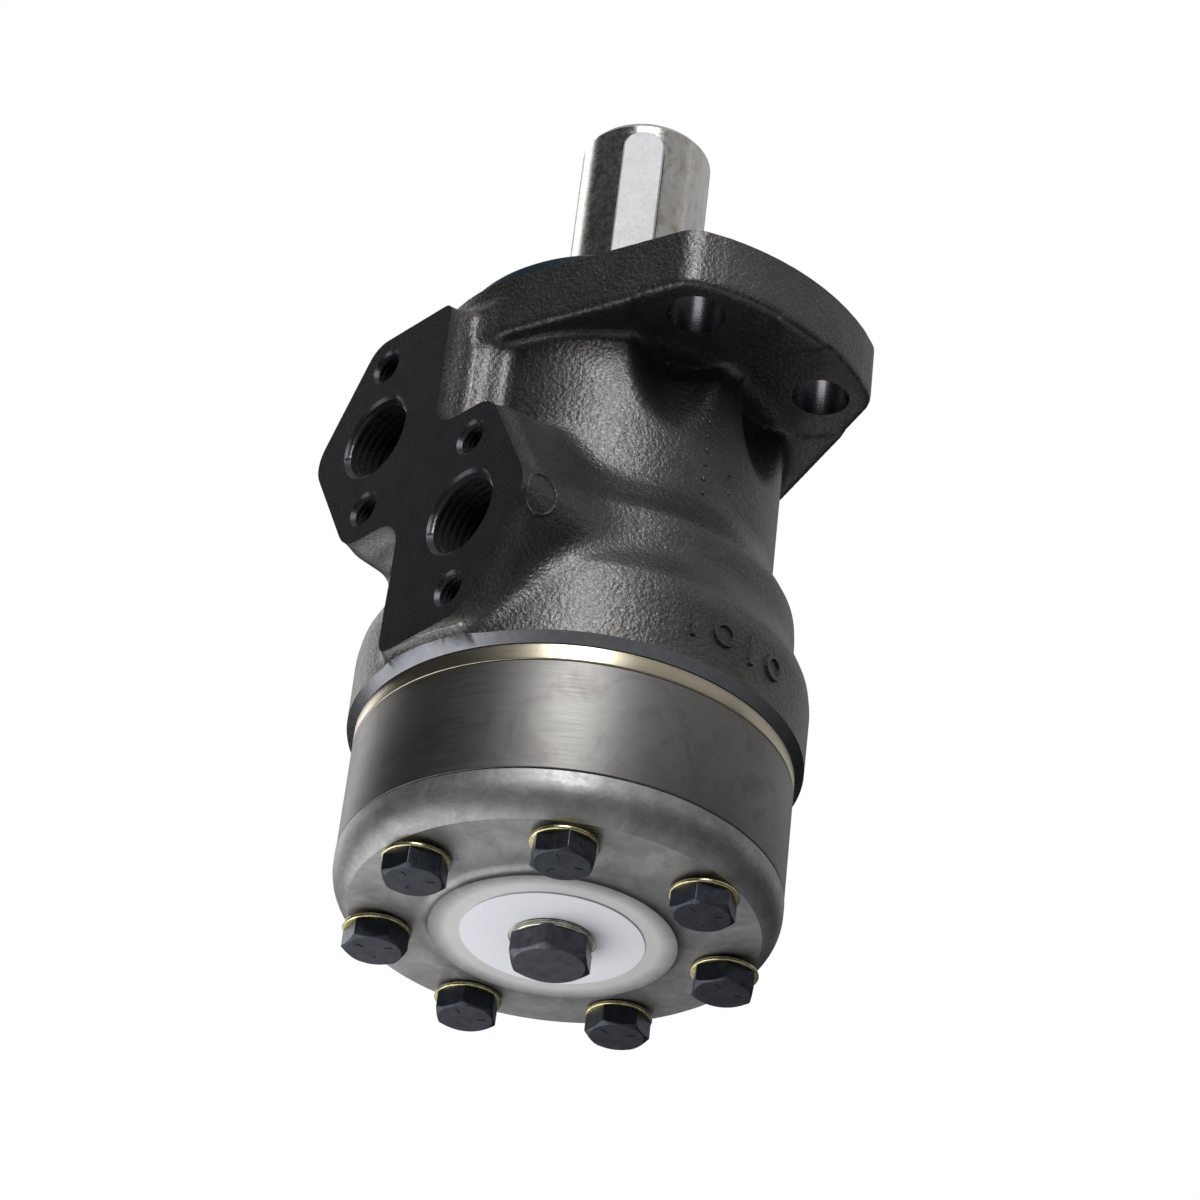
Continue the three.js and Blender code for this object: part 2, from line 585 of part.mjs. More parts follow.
// The cardan shaft along its own axis, from the apex where it crosses the main axis.
function cardanShaft() {
  const points = 4 * SPLINE_TEETH;
  const body = (radius) => around(points, -360 / SPLINE_TEETH / 3).map((degrees) => polar(radius, degrees));
  const teeth = (ease) => splineOutline(
    SPLINE_ROOT_RADIUS - ease, SPLINE_TIP_RADIUS - ease, 0.5 - ease * 0.2, 0.3 - ease * 0.2);
  const head = ([low, high]) => [
    { z: low - 1, outline: body(CARDAN_BODY_RADIUS) }, { z: low, outline: teeth(0.4) },
    { z: (low + high) / 2, outline: teeth(0) }, { z: high, outline: teeth(0.4) },
    { z: high + 1, outline: body(CARDAN_BODY_RADIUS) },
  ];
  const sections = [...head(CARDAN_REAR_TEETH), ...head(CARDAN_FRONT_TEETH)];
  return loft(sections.map(({ z, outline }) => ({ z: z - CARDAN_APEX_Z, outline })));
}

// --- End cover and fasteners --------------------------------------------------------------------

function endCover() {
  const [face, front] = END_COVER_Z;
  const centre = END_COVER_RADIUS - END_COVER_ROUNDING;
  const edge = [0, 22.5, 45, 67.5, 90].map((degrees) => {
    const [across, down] = polar(END_COVER_ROUNDING, degrees);
    return [centre + across, face + END_COVER_ROUNDING - down];
  });
  const profile = [
    [0, front], [END_COVER_RADIUS, front], ...edge, [BOSS_FOOT_RADIUS, face],
    [BOSS_RADIUS, face - BOSS_HEIGHT], [0, face - BOSS_HEIGHT],
  ];
  return cut(solid(revolve(profile, LARGE_ROUND)), [
    ...boltHoles(face - 1, front + 1),
    rod(PLUG_RADIUS + RUN_GAP, face - 4, front + 1, 20),
    ring(...RING_GROOVE, front - RING_GROOVE_DEPTH, front + 1),
    ...boltAngles.map((degrees) =>
      rod(WASHER_RADIUS + RUN_GAP, face - 4, face, SMALL_ROUND).translate(...polar(BOLT_CIRCLE, degrees), 0)),
  ]);
}

// A hexagon head that stands on a washer at the height given, with its shank towards +Z.
function hexBolt(acrossFlats, headHeight, radius, seat, tip, turn) {
  return join(
    prism(hexagon(acrossFlats, turn), seat - headHeight, seat),
    rod(radius, seat - 1, tip, 12),
  );
}

// --- Check valves -------------------------------------------------------------------------------

function coilSpring() {
  const [low, high] = CHECK_SPRING_Z;
  const stepsPerTurn = 8;
  const steps = CHECK_SPRING_TURNS * stepsPerTurn;
  const start = low + CHECK_SPRING_WIRE;
  const rise = high - low - 2 * CHECK_SPRING_WIRE;
  const points = Array.from({ length: steps + 1 }, (_, step) => {
    const [x, y] = polar(CHECK_SPRING_RADIUS, (step * 360) / stepsPerTurn);
    return new THREE.Vector3(x, y, start + (rise * step) / steps);
  });
  const section = around(4).map((degrees) => new THREE.Vector2(...polar(CHECK_SPRING_WIRE, degrees)));
  const wire = new THREE.Shape(section);
  return new THREE.ExtrudeGeometry(wire, {
    steps, bevelEnabled: false, extrudePath: new THREE.CatmullRomCurve3(points),
  });
}

const checkBall = () => {
  const ball = new THREE.SphereGeometry(CHECK_BALL_RADIUS, 12, 8).rotateX(Math.PI / 2);
  return solid(ball.translate(0, 0, CHECK_BALL_Z));
};

// --- The motor ----------------------------------------------------------------------------------

addPiece('housing', housing(), castIron);

addPiece('front_cover', frontCover(), tealPaint);
around(COVER_SCREW_COUNT).forEach((degrees, index) => {
  addPiece(`front_cover_screw_${index + 1}`, coverScrew(...polar(COVER_SCREW_CIRCLE, degrees)), blackOxide);
});
const frontRingCircle = SPIGOT_RADIUS - FRONT_GROOVE_DEPTH / 2;
addPiece(
  'front_cover_o_ring', solid(sealRing(frontRingCircle, FRONT_RING_SECTION, FRONT_RING_Z, 24)), blackRubber);
addPiece('shaft_seal', solid(lipSeal(SHAFT_SEAL_POCKET_RADIUS - JOINT_GAP, SHAFT_SEAL_Z)), blackRubber);
addPiece('dust_seal', solid(lipSeal(DUST_SEAL_POCKET_RADIUS - JOINT_GAP, DUST_SEAL_Z)), blackRubber);
addPiece('thrust_bearing_race', solid(ring(...BEARING_RADII, ...BEARING_RACE_Z, 24)), hardSteel);
addPiece('thrust_bearing_cage', thrustCage(), hardSteel);

addPiece('output_shaft', outputShaft(), brightSteel);
addPiece('shaft_key', solid(keySolid(0)), brightSteel);

addPiece('distributor_plate', distributorPlate(), goldPlate);
addPiece('stator_ring', statorRing(), groundSteel);
rollerAngles.forEach((degrees, index) => {
  const shape = solid(rod(ROLLER_RADIUS, ...gearHeights, 18));
  addPiece(`roller_${index + 1}`, shape, hardSteel).position.set(...polar(ROLLER_CIRCLE, degrees), 0);
});

// At rest the rotor's centre lies towards the first bolt. The rotor and the cardan shaft both turn
// about lines that pass through it, and the spacer lies behind the cardan shaft's rear end.
const orbit = new THREE.Group();
orbit.rotation.z = BOLT_AZIMUTH * DEGREE;
motor.add(orbit);
const rotorShape = cut(solid(prism(rotorOutline(), ...gearHeights)), [
  prism(splineHole(), STATOR_Z[0] - 1, STATOR_Z[1] + 1),
]);
addPiece('rotor', rotorShape, hardSteel, orbit).position.x = ECCENTRICITY;
const rearTeethMiddle = (CARDAN_REAR_TEETH[0] + CARDAN_REAR_TEETH[1]) / 2;
const cardan = addPiece('cardan_shaft', solid(cardanShaft()), hardSteel, orbit);
cardan.position.z = CARDAN_APEX_Z;
cardan.rotation.y = -Math.atan2(ECCENTRICITY, CARDAN_APEX_Z - rearTeethMiddle);
const spacerHeights = [STATOR_Z[0] + GEAR_END_GAP, CARDAN_REAR_TEETH[0] - 2.2];
addPiece('cardan_spacer', solid(rod(SPACER_RADIUS, ...spacerHeights, 24)), hardSteel, orbit)
  .position.x = ECCENTRICITY;

addPiece('end_cover', endCover(), groundSteel);
[HOUSING_REAR, STATOR_Z[1], END_COVER_Z[1]].forEach((face, index) => {
  const middle = face + (index === 0 ? 1 : -1) * (RING_SECTION + JOINT_GAP);
  addPiece(`rear_o_ring_${index + 1}`, solid(sealRing(RING_CIRCLE, RING_SECTION, middle, 24)), blackRubber);
});
boltAngles.forEach((degrees, index) => {
  const [x, y] = polar(BOLT_CIRCLE, degrees);
  const seat = END_COVER_Z[0] - JOINT_GAP - WASHER_THICKNESS;
  const bolt = hexBolt(BOLT_ACROSS_FLATS, BOLT_HEAD_HEIGHT, BOLT_RADIUS, seat - 0.05, BOLT_TIP, 30);
  addPiece(`cover_bolt_${index + 1}`, bolt, blackOxide).position.set(x, y, 0);
  const washer = ring(BOLT_HOLE_RADIUS, WASHER_RADIUS, seat, seat + WASHER_THICKNESS, 16);
  addPiece(`bolt_washer_${index + 1}`, solid(washer), yellowZinc).position.set(x, y, 0);
});

const bossFace = END_COVER_Z[0] - BOSS_HEIGHT;
const labelLow = bossFace - 0.05 - LABEL_THICKNESS;
addPiece('label_disc', solid(ring(...LABEL_RADII, labelLow, bossFace - 0.05, ROUND)), labelGrey);
const plugSeat = bossFace - 0.05 - PLUG_WASHER_THICKNESS;
const plugWasher = ring(PLUG_RADIUS + RUN_GAP, PLUG_WASHER_RADIUS, plugSeat, bossFace - 0.05, 18);
addPiece('drain_plug_washer', solid(plugWasher), yellowZinc);
const plug = hexBolt(
  PLUG_ACROSS_FLATS, PLUG_HEAD_HEIGHT, PLUG_RADIUS, plugSeat - 0.05, plugSeat + PLUG_LENGTH, 0);
addPiece('drain_plug', plug, blackOxide);

checkAngles.forEach((degrees, index) => {
  const [x, y] = polar(CHECK_CIRCLE, degrees);
  const seat = solid(
    ring(CHECK_SEAT_BORE_RADIUS, CHECK_BORE_RADIUS - RUN_GAP, ...CHECK_SEAT_Z, SMALL_ROUND));
  addPiece(`check_seat_${index + 1}`, seat, hardSteel).position.set(x, y, 0);
  addPiece(`check_ball_${index + 1}`, checkBall(), hardSteel).position.set(x, y, 0);
  addPiece(`check_spring_${index + 1}`, solid(coilSpring()), brightSteel).position.set(x, y, 0);
});

export default motor;
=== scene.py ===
"""Looks of an orbital hydraulic motor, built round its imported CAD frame.

Lengths in this file are millimetres and become metres in make_piece(). The frame's origin is on the shaft
axis in the flange's mounting face, +Z runs out along the shaft and the ports face -Y.
"""

import json
import math

import bpy
import numpy as np
from mathutils import Matrix, Vector


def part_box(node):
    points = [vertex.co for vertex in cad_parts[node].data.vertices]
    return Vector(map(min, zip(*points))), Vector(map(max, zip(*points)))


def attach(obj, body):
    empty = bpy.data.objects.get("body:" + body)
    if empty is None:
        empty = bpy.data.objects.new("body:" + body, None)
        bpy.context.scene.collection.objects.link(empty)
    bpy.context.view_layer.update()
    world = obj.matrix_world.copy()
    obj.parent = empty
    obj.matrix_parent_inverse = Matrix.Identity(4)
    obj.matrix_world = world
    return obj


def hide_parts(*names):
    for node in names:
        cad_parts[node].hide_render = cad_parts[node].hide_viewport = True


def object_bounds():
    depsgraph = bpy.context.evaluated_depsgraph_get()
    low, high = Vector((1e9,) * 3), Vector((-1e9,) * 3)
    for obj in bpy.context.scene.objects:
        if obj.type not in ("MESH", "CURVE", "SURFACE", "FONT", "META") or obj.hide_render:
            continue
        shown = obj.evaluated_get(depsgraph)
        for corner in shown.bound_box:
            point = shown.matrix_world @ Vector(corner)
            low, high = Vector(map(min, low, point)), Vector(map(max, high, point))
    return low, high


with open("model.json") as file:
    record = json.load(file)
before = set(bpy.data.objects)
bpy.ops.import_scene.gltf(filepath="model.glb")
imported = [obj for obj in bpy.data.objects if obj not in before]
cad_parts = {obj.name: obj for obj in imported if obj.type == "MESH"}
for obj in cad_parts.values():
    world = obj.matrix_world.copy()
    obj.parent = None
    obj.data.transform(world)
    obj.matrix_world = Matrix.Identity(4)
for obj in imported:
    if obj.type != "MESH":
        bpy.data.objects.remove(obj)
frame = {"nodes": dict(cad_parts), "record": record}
cad_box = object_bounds()

MM = 0.001
SHARP_ANGLE = math.radians(28)


def low(node):
    """Lowest corner of a CAD node in millimetres."""
    return np.array(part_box(node)[0]) / MM


def high(node):
    """Highest corner of a CAD node in millimetres."""
    return np.array(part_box(node)[1]) / MM


def middle(node):
    return (low(node) + high(node)) / 2


def span(node):
    """A CAD node's lowest and highest height."""
    return low(node)[2], high(node)[2]


def angle_of(node):
    x, y, _ = middle(node)
    return math.degrees(math.atan2(y, x))


def circle_of(node):
    """Distance of a CAD node from the shaft's axis."""
    return float(np.hypot(*middle(node)[:2]))


def numbered(stem, count):
    return [f"{stem}_{number}" for number in range(1, count + 1)]


# Heights and radii that the frame gives.
HOUSING_REAR = low("housing")[2]
PORT_FACE_Y = low("housing")[1]
FLANGE_END_RADIUS = high("housing")[0]
SHAFT_REAR, SHAFT_END = span("output_shaft")
PILOT_RADIUS = high("front_cover")[0]
PILOT_TOP = high("front_cover")[2]
GEAR_RADIUS = high("stator_ring")[0]
BOSS_FACE, COVER_FRONT = span("end_cover")
BOLT_NODES = numbered("cover_bolt", 7)
WASHER_NODES = numbered("bolt_washer", 7)
SCREW_NODES = numbered("front_cover_screw", 6)
BOLT_ANGLES = [angle_of(node) for node in BOLT_NODES]
BOLT_PLACES = [middle(node)[:2] for node in BOLT_NODES]

# Housing casting. The allowance is metal that is machined off its faces.
ALLOWANCE = 3
FLANGE_THICKNESS = 16
FLANGE_WAIST_RADIUS = 46
FLANGE_CORNER_ANGLE = 28
FLANGE_END_ANGLES = range(-20, 21, 4)
FLANGE_WAIST_POINTS = 9
FLANGE_CORNER_ROUNDING = 8
FLANGE_EDGE_ROUNDING = 1.6
FLANGE_HOLE_RADIUS = 6.75
FLANGE_HOLE_CIRCLE = 53.2
FLANGE_HOLE_ANGLES = (22.5, -22.5, 157.5, -157.5)
FLANGE_HOLE_REACH = 12
BARREL_OUTLINE = [
    (3, 40.8), (-53, 40.8), (-56, 41.3), (-58, 42.1), (-60, 43), (-62, 44), (-64, 45.3), (-67, 46.9),
    (-70, 47.2), (-75, 47.4), (-77, 47.7), (-79, 48.3), (-81, 49.1), (-83, 50.1), (-86, 51.5), (-90, 52.1),
    (-112, 51.9),
]
BARREL_TOP = 2
BARREL_OUTLINE_STEP = 0.5
BLOCK_CENTRE = (-2.25, -55.4)
BLOCK_HALF = [(1.6, -8.2, 2.5), (-25.6, -8.2, 7), (-43, -35.9, 9), (-26, -65.9, 8), (-6.1, -65.9, 7)]
BLOCK_PAD_ROUNDING = 9
BLOCK_BODY_ROUNDING = 17
BLOCK_BODY_DEPTH = (0.8, 6)
BLOCK_REAR_FADE = (6, 14)
BLOCK_DRAFT = 0.05
BLOCK_BACK_Y = -10
NECK_CORNER = (6.6, -47.2)
NECK_ROUNDING = 5.5
NECK_HEIGHTS = (-50, -8)
NECK_LEFT = -18
POCKET_CIRCLE = 54
POCKET_ANGLES = (20.5, -20.5, 159.5, -159.5)
POCKET_SIZE = (20, 15, 27)
FLANGE_FILLET = 3.5
PAD_FILLET = 1.5
BLOCK_FILLET = 4
POCKET_FILLET = 3
CASTING_STEP = 0.8
CASTING_LOWEST = (-70.0, -62.0, HOUSING_REAR - 6)
CASTING_HIGHEST = (70.0, 56.0, 8.0)

# Holes in the housing. Cutters reach past a face by the margin.
CUT_MARGIN = 4
PORTS = [(-20.7, -36.8), (15.9, -74.0)]
PORT_THREAD = dict(minor=9.3, major=10.48, pitch=1.814)
PORT_DEPTH = 15
PORT_MOUTH = [(0, -1.1), (9.9, -1.1), (11.3, 0.3), (11.3, 2), (0, 2)]
PORT_PASSAGE_RADIUS = 6
PORT_PASSAGE_END_Y = -12
SCREW_THREAD = dict(minor=3.32, major=4.0, pitch=1.25)
SCREW_HOLE_OFFSET = 20.4
SCREW_HOLE_DEPTH = 13
SCREW_MOUTH = [(0, -0.9), (3.7, -0.9), (4.75, 0.15), (4.75, 2), (0, 2)]
CHAMBER_RADIUS = 29.5
CHAMBER_DEPTH = 21
SPOOL_BORE_RADIUS = 20.3
GROOVE_RADIUS = 24
GROOVE_HALF_WIDTH = 4.5
COVER_SCREW_HOLE_RADIUS = 3.3
COVER_SCREW_HOLE_DEPTH = 16
BOLT_HOLE_RADIUS = 4.5
BOLT_HOLE_TOP = -85
TIMING_CIRCLE = 27.5
TIMING_RADIUS = 3
TIMING_TOP = -88
CHECK_BORE_RADIUS = 4.6
CHECK_BORE_TOP = -86
RING_GROOVE = (45.4, 48.2)
RING_GROOVE_DEPTH = 2.1
REAR_CHAMFER_RADIUS = 49.9

# How the housing's faces are told apart: skin by depth, machined faces by place and direction.
SKIN_DEPTH = 0.3
ON_FACE = 0.02
ON_CHAMFER = 0.05
FACING = 0.9
FLANGE_HOLE_INSIDE = 44
PORT_MOUTH_DEPTH = 0.6

# Raised marks on the casting: a round badge beside port B, a row of dots and four signs by the rear edge.
BADGE_CENTRE_Y = -48.2
BADGE_CENTRE_Z = -75.3
BADGE_RADII = (4.9, 4.1)
BADGE_WIRE = 0.42
DOT_CIRCLE = 40.7
DOT_ROWS = [(-7.5, (-33, -37, -41, -45, -49, -53), 0.6), (3, (-44, -49, -54), 0.5)]
SIGN_AZIMUTHS = (-14, -5, 4, 13)
SIGN_CIRCLE = 51.9
SIGN_HEIGHT = -95.5
SIGN_BAR = ((-1, -0.65, -3.7), (0.7, 0.65, 3.7))
SIGN_RING = [(1.9, -1), (3.2, -1), (3.1, 0.7), (2.0, 0.7)]

# Thread form along one pitch: place as a share of the pitch, height as a share of the thread's depth.
THREAD_FORM = [(0.0, 0), (0.2, 0), (0.46, 1), (0.6, 1)]

# --- Outlines -----------------------------------------------------------------------------------


def polar(radius, degrees):
    return radius * math.cos(math.radians(degrees)), radius * math.sin(math.radians(degrees))


def rounded(corners, closed=True, steps=6):
    """An outline through (x, y, rounding radius) corners. A radius of 0 keeps the corner."""
    count = len(corners)
    points = []
    for index, (x, y, radius) in enumerate(corners):
        is_end = not closed and index in (0, count - 1)
        if radius == 0 or is_end:
            points.append((x, y))
            continue
        corner = Vector((x, y))
        before = (Vector(corners[index - 1][:2]) - corner).normalized()
        after = (Vector(corners[(index + 1) % count][:2]) - corner).normalized()
        half = before.angle(after) / 2
        centre = corner + (before + after).normalized() * (radius / math.sin(half))
        first = corner + before * (radius / math.tan(half)) - centre
        last = corner + after * (radius / math.tan(half)) - centre
        start = math.atan2(first.y, first.x)
        sweep = (math.atan2(last.y, last.x) - start + math.pi) % math.tau - math.pi
        for step in range(steps + 1):
            angle = start + sweep * step / steps
            points.append((centre.x + radius * math.cos(angle), centre.y + radius * math.sin(angle)))
    return points


def flange_outline():
    """Two arcs about the shaft, joined by straight edges that run on to a central circle."""
    tangent = FLANGE_CORNER_ANGLE + math.degrees(math.acos(FLANGE_WAIST_RADIUS / FLANGE_END_RADIUS))
    half = [(*polar(FLANGE_END_RADIUS, -FLANGE_CORNER_ANGLE), FLANGE_CORNER_ROUNDING)]
    half += [(*polar(FLANGE_END_RADIUS, angle), 0) for angle in FLANGE_END_ANGLES]
    half += [(*polar(FLANGE_END_RADIUS, FLANGE_CORNER_ANGLE), FLANGE_CORNER_ROUNDING)]
    waist = np.linspace(tangent, 180 - tangent, FLANGE_WAIST_POINTS)
    half += [(*polar(FLANGE_WAIST_RADIUS, angle), 0) for angle in waist]
    return rounded(half + [(-x, -y, radius) for x, y, radius in half])


def block_outline(outer_rounding):
    """The two pads' outline. The outermost corner of each has the given rounding."""
    centre_x, centre_z = BLOCK_CENTRE
    outermost = min(x for x, _, _ in BLOCK_HALF)
    half = [(x, z, outer_rounding if x == outermost else radius) for x, z, radius in BLOCK_HALF]
    return rounded(half + [(2 * centre_x - x, 2 * centre_z - z, radius) for x, z, radius in half])


# --- Casting as a distance field ----------------------------------------------------------------


def polygon_distance(points, x, y):
    """Distance from x, y to a closed outline, negative inside it."""
    nearest = np.full(x.shape, np.inf)
    inside = np.zeros(x.shape, bool)
    for (ax, ay), (bx, by) in zip(points, points[1:] + points[:1]):
        along_x, along_y = bx - ax, by - ay
        share = ((x - ax) * along_x + (y - ay) * along_y) / (along_x**2 + along_y**2)
        share = np.clip(share, 0, 1)
        nearest = np.minimum(nearest, (x - ax - along_x * share) ** 2 + (y - ay - along_y * share) ** 2)
        if ay != by:
            inside ^= ((ay <= y) != (by <= y)) & (x < ax + (y - ay) * along_x / along_y)
    return np.where(inside, -1, 1) * np.sqrt(nearest)


def blend_union(a, b, reach):
    share = np.clip(0.5 + 0.5 * (b - a) / reach, 0, 1)
    return b + (a - b) * share - reach * share * (1 - share)


def blend_cut(body, tool, reach):
    return -blend_union(-body, tool, reach)


def barrel_field(x, y, z):
    """The turned shape of the barrel, with its outline's corners softened."""
    heights = np.arange(-114, 6, BARREL_OUTLINE_STEP)
    places, radii = zip(*reversed(BARREL_OUTLINE))
    outline = np.interp(heights, places, radii)
    window = np.exp(-np.linspace(-2, 2, 5) ** 2)
    padded = np.pad(outline, 2, mode="edge")
    outline = np.convolve(padded, window / window.sum(), mode="valid")
    slope = np.interp(z, heights, np.gradient(outline, heights))
    side = (np.hypot(x, y) - np.interp(z, heights, outline)) / np.sqrt(1 + slope**2)
    return np.maximum(side, np.maximum(z - BARREL_TOP, HOUSING_REAR - ALLOWANCE - z))


def flange_field(x, y, z):
    side = polygon_distance(flange_outline(), x[:, :, :1], y[:, :, :1]) + FLANGE_EDGE_ROUNDING
    centre = (ALLOWANCE - FLANGE_THICKNESS) / 2
    height = np.abs(z - centre) - (ALLOWANCE + FLANGE_THICKNESS) / 2 + FLANGE_EDGE_ROUNDING
    outside = np.hypot(np.maximum(side, 0), np.maximum(height, 0))
    return outside + np.minimum(np.maximum(side, height), 0) - FLANGE_EDGE_ROUNDING


def block_field(x, y, z):
    """The port block: the pads' outline at the face, and rounder outer corners behind it."""
    behind = np.maximum(y - PORT_FACE_Y, 0)
    pad = polygon_distance(block_outline(BLOCK_PAD_ROUNDING), x[:, :1, :], z[:, :1, :])
    body = polygon_distance(block_outline(BLOCK_BODY_ROUNDING), x[:, :1, :], z[:, :1, :])
    first, last = BLOCK_BODY_DEPTH
    share = np.clip((behind - first) / (last - first), 0, 1)
    share = share * share * (3 - 2 * share)
    first, last = BLOCK_REAR_FADE
    above_rear = np.clip((z - HOUSING_REAR - first) / (last - first), 0, 1)
    side = pad + (body - pad) * share - above_rear * (share + BLOCK_DRAFT * behind)
    return np.maximum(side, np.maximum(PORT_FACE_Y - ALLOWANCE - y, y - BLOCK_BACK_Y))


def neck_field(x, y, z):
    """The rounded wall beside the front pad."""
    corner_x, corner_y = NECK_CORNER
    across = np.maximum(x - corner_x + NECK_ROUNDING, 0)
    forward = np.maximum(corner_y + NECK_ROUNDING - y, 0)
    side = np.hypot(across, forward) - NECK_ROUNDING
    bottom, top = NECK_HEIGHTS
    ends = np.maximum(z - top, bottom - z)
    return np.maximum(side, np.maximum(np.maximum(NECK_LEFT - x, y - BLOCK_BACK_Y), ends))


def pocket_field(x, y, z, degrees):
    """A scoop under a flange hole, which leaves the bolt head room beside the barrel."""
    turn = math.radians(degrees)
    outwards = (x * math.cos(turn) + y * math.sin(turn) - POCKET_CIRCLE) / POCKET_SIZE[0]
    sideways = (y * math.cos(turn) - x * math.sin(turn)) / POCKET_SIZE[1]
    upwards = (z + FLANGE_THICKNESS) / POCKET_SIZE[2]
    reach = np.sqrt(outwards**2 + sideways**2 + upwards**2) + 1e-6
    steepness = np.sqrt(sum((part / size) ** 2 for part, size in
                            zip((outwards, sideways, upwards), POCKET_SIZE))) + 1e-6
    scoop = reach * (reach - 1) / steepness
    return np.maximum(scoop, z + FLANGE_THICKNESS)


def casting_field(x, y, z):
    field = blend_union(barrel_field(x, y, z), flange_field(x, y, z), FLANGE_FILLET)
    pads = blend_union(block_field(x, y, z), neck_field(x, y, z), PAD_FILLET)
    field = blend_union(field, pads, BLOCK_FILLET)
    for degrees in POCKET_ANGLES:
        field = blend_cut(field, pocket_field(x, y, z, degrees), POCKET_FILLET)
    return field


def surface_of(field, origin, step):
    """Vertices and quads of the surface where a sampled field is zero, one vertex for each crossed cell."""
    shape = np.array(field.shape) - 1
    corner_offsets = np.array([(i, j, k) for i in (0, 1) for j in (0, 1) for k in (0, 1)])
    parts = [field[i:shape[0] + i, j:shape[1] + j, k:shape[2] + k] for i, j, k in corner_offsets]
    count_inside = sum((part < 0).astype(np.int8) for part in parts)
    cells = np.argwhere((count_inside > 0) & (count_inside < 8))
    values = np.stack([part[tuple(cells.T)] for part in parts], axis=1)
    total = np.zeros((len(cells), 3))
    crossings = np.zeros(len(cells))
    for a in range(8):
        for b in range(a + 1, 8):
            if np.abs(corner_offsets[a] - corner_offsets[b]).sum() != 1:
                continue
            crossed = (values[:, a] < 0) != (values[:, b] < 0)
            spread = np.where(crossed, values[:, a] - values[:, b], 1)
            share = (values[:, a] / spread)[:, None]
            point = corner_offsets[a] + (corner_offsets[b] - corner_offsets[a]) * share
            total += np.where(crossed[:, None], point, 0)
            crossings += crossed
    vertices = (cells + total / crossings[:, None]) * step + origin
    number = np.full(field.shape, -1)
    number[tuple(cells.T)] = np.arange(len(cells))
    quads = []
    for axis in range(3):
        other, third = (axis + 1) % 3, (axis + 2) % 3
        near = np.take(field, range(field.shape[axis] - 1), axis)
        far = np.take(field, range(1, field.shape[axis]), axis)
        edges = np.argwhere((near < 0) != (far < 0))
        goes_out = near[tuple(edges.T)] < 0
        ring = []
        for back_other, back_third in ((0, 0), (1, 0), (1, 1), (0, 1)):
            cell = edges.copy()
            cell[:, other] -= back_other
            cell[:, third] -= back_third
            ring.append(number[tuple(cell.T)])
        quad = np.stack(ring, axis=1)
        quad[~goes_out] = quad[~goes_out][:, ::-1]
        quads.append(quad)
    return vertices, np.concatenate(quads)


# --- Meshes -------------------------------------------------------------------------------------


def make_piece(name, shape):
    """A Blender object in metres from vertices and faces in millimetres."""
    vertices, faces = shape
    mesh = bpy.data.meshes.new(name)
    mesh.from_pydata((np.asarray(vertices) * MM).tolist(), [], [list(map(int, face)) for face in faces])
    mesh.update()
    piece = bpy.data.objects.new(name, mesh)
    bpy.context.scene.collection.objects.link(piece)
    return piece


def lathe(profile, segments=128, centre=(0, 0)):
    """A solid of revolution from (radius, z) points, listed so that the outside is on the right of the
    path when z points up the page and radius to the right. A profile off the axis closes on itself."""
    on_axis = profile[0][0] == 0 and profile[-1][0] == 0
    area = sum(a[0] * b[1] - b[0] * a[1] for a, b in zip(profile, profile[1:] + profile[:1]))
    points = profile if area > 0 else profile[::-1]
    vertices, rows = [], []
    for radius, height in points:
        if radius == 0:
            rows.append([len(vertices)] * segments)
            vertices.append((*centre, height))
            continue
        rows.append(list(range(len(vertices), len(vertices) + segments)))
        for index in range(segments):
            x, y = polar(radius, 360 * index / segments)
            vertices.append((centre[0] + x, centre[1] + y, height))
    pairs = list(zip(rows, rows[1:])) + ([] if on_axis else [(rows[-1], rows[0])])
    faces = []
    for lower, upper in pairs:
        for i in range(segments):
            j = (i + 1) % segments
            face = [lower[i], lower[j], upper[j], upper[i]]
            faces.append([v for n, v in enumerate(face) if v not in face[:n]])
    return vertices, faces


def rod(radius, bottom, top, centre=(0, 0), segments=64):
    return lathe([(0, bottom), (radius, bottom), (radius, top), (0, top)], segments, centre)


def block(lowest, highest):
    corners = [(x, y, z) for x in (lowest[0], highest[0]) for y in (lowest[1], highest[1])
               for z in (lowest[2], highest[2])]
    faces = [(0, 1, 3, 2), (4, 6, 7, 5), (0, 4, 5, 1), (2, 3, 7, 6), (0, 2, 6, 4), (1, 5, 7, 3)]
    return corners, faces


def prism(outline, bottom, top):
    """A straight prism over a counter-clockwise outline."""
    count = len(outline)
    vertices = [(x, y, bottom) for x, y in outline] + [(x, y, top) for x, y in outline]
    faces = [list(range(count))[::-1], list(range(count, 2 * count))]
    faces += [[i, (i + 1) % count, count + (i + 1) % count, count + i] for i in range(count)]
    return vertices, faces


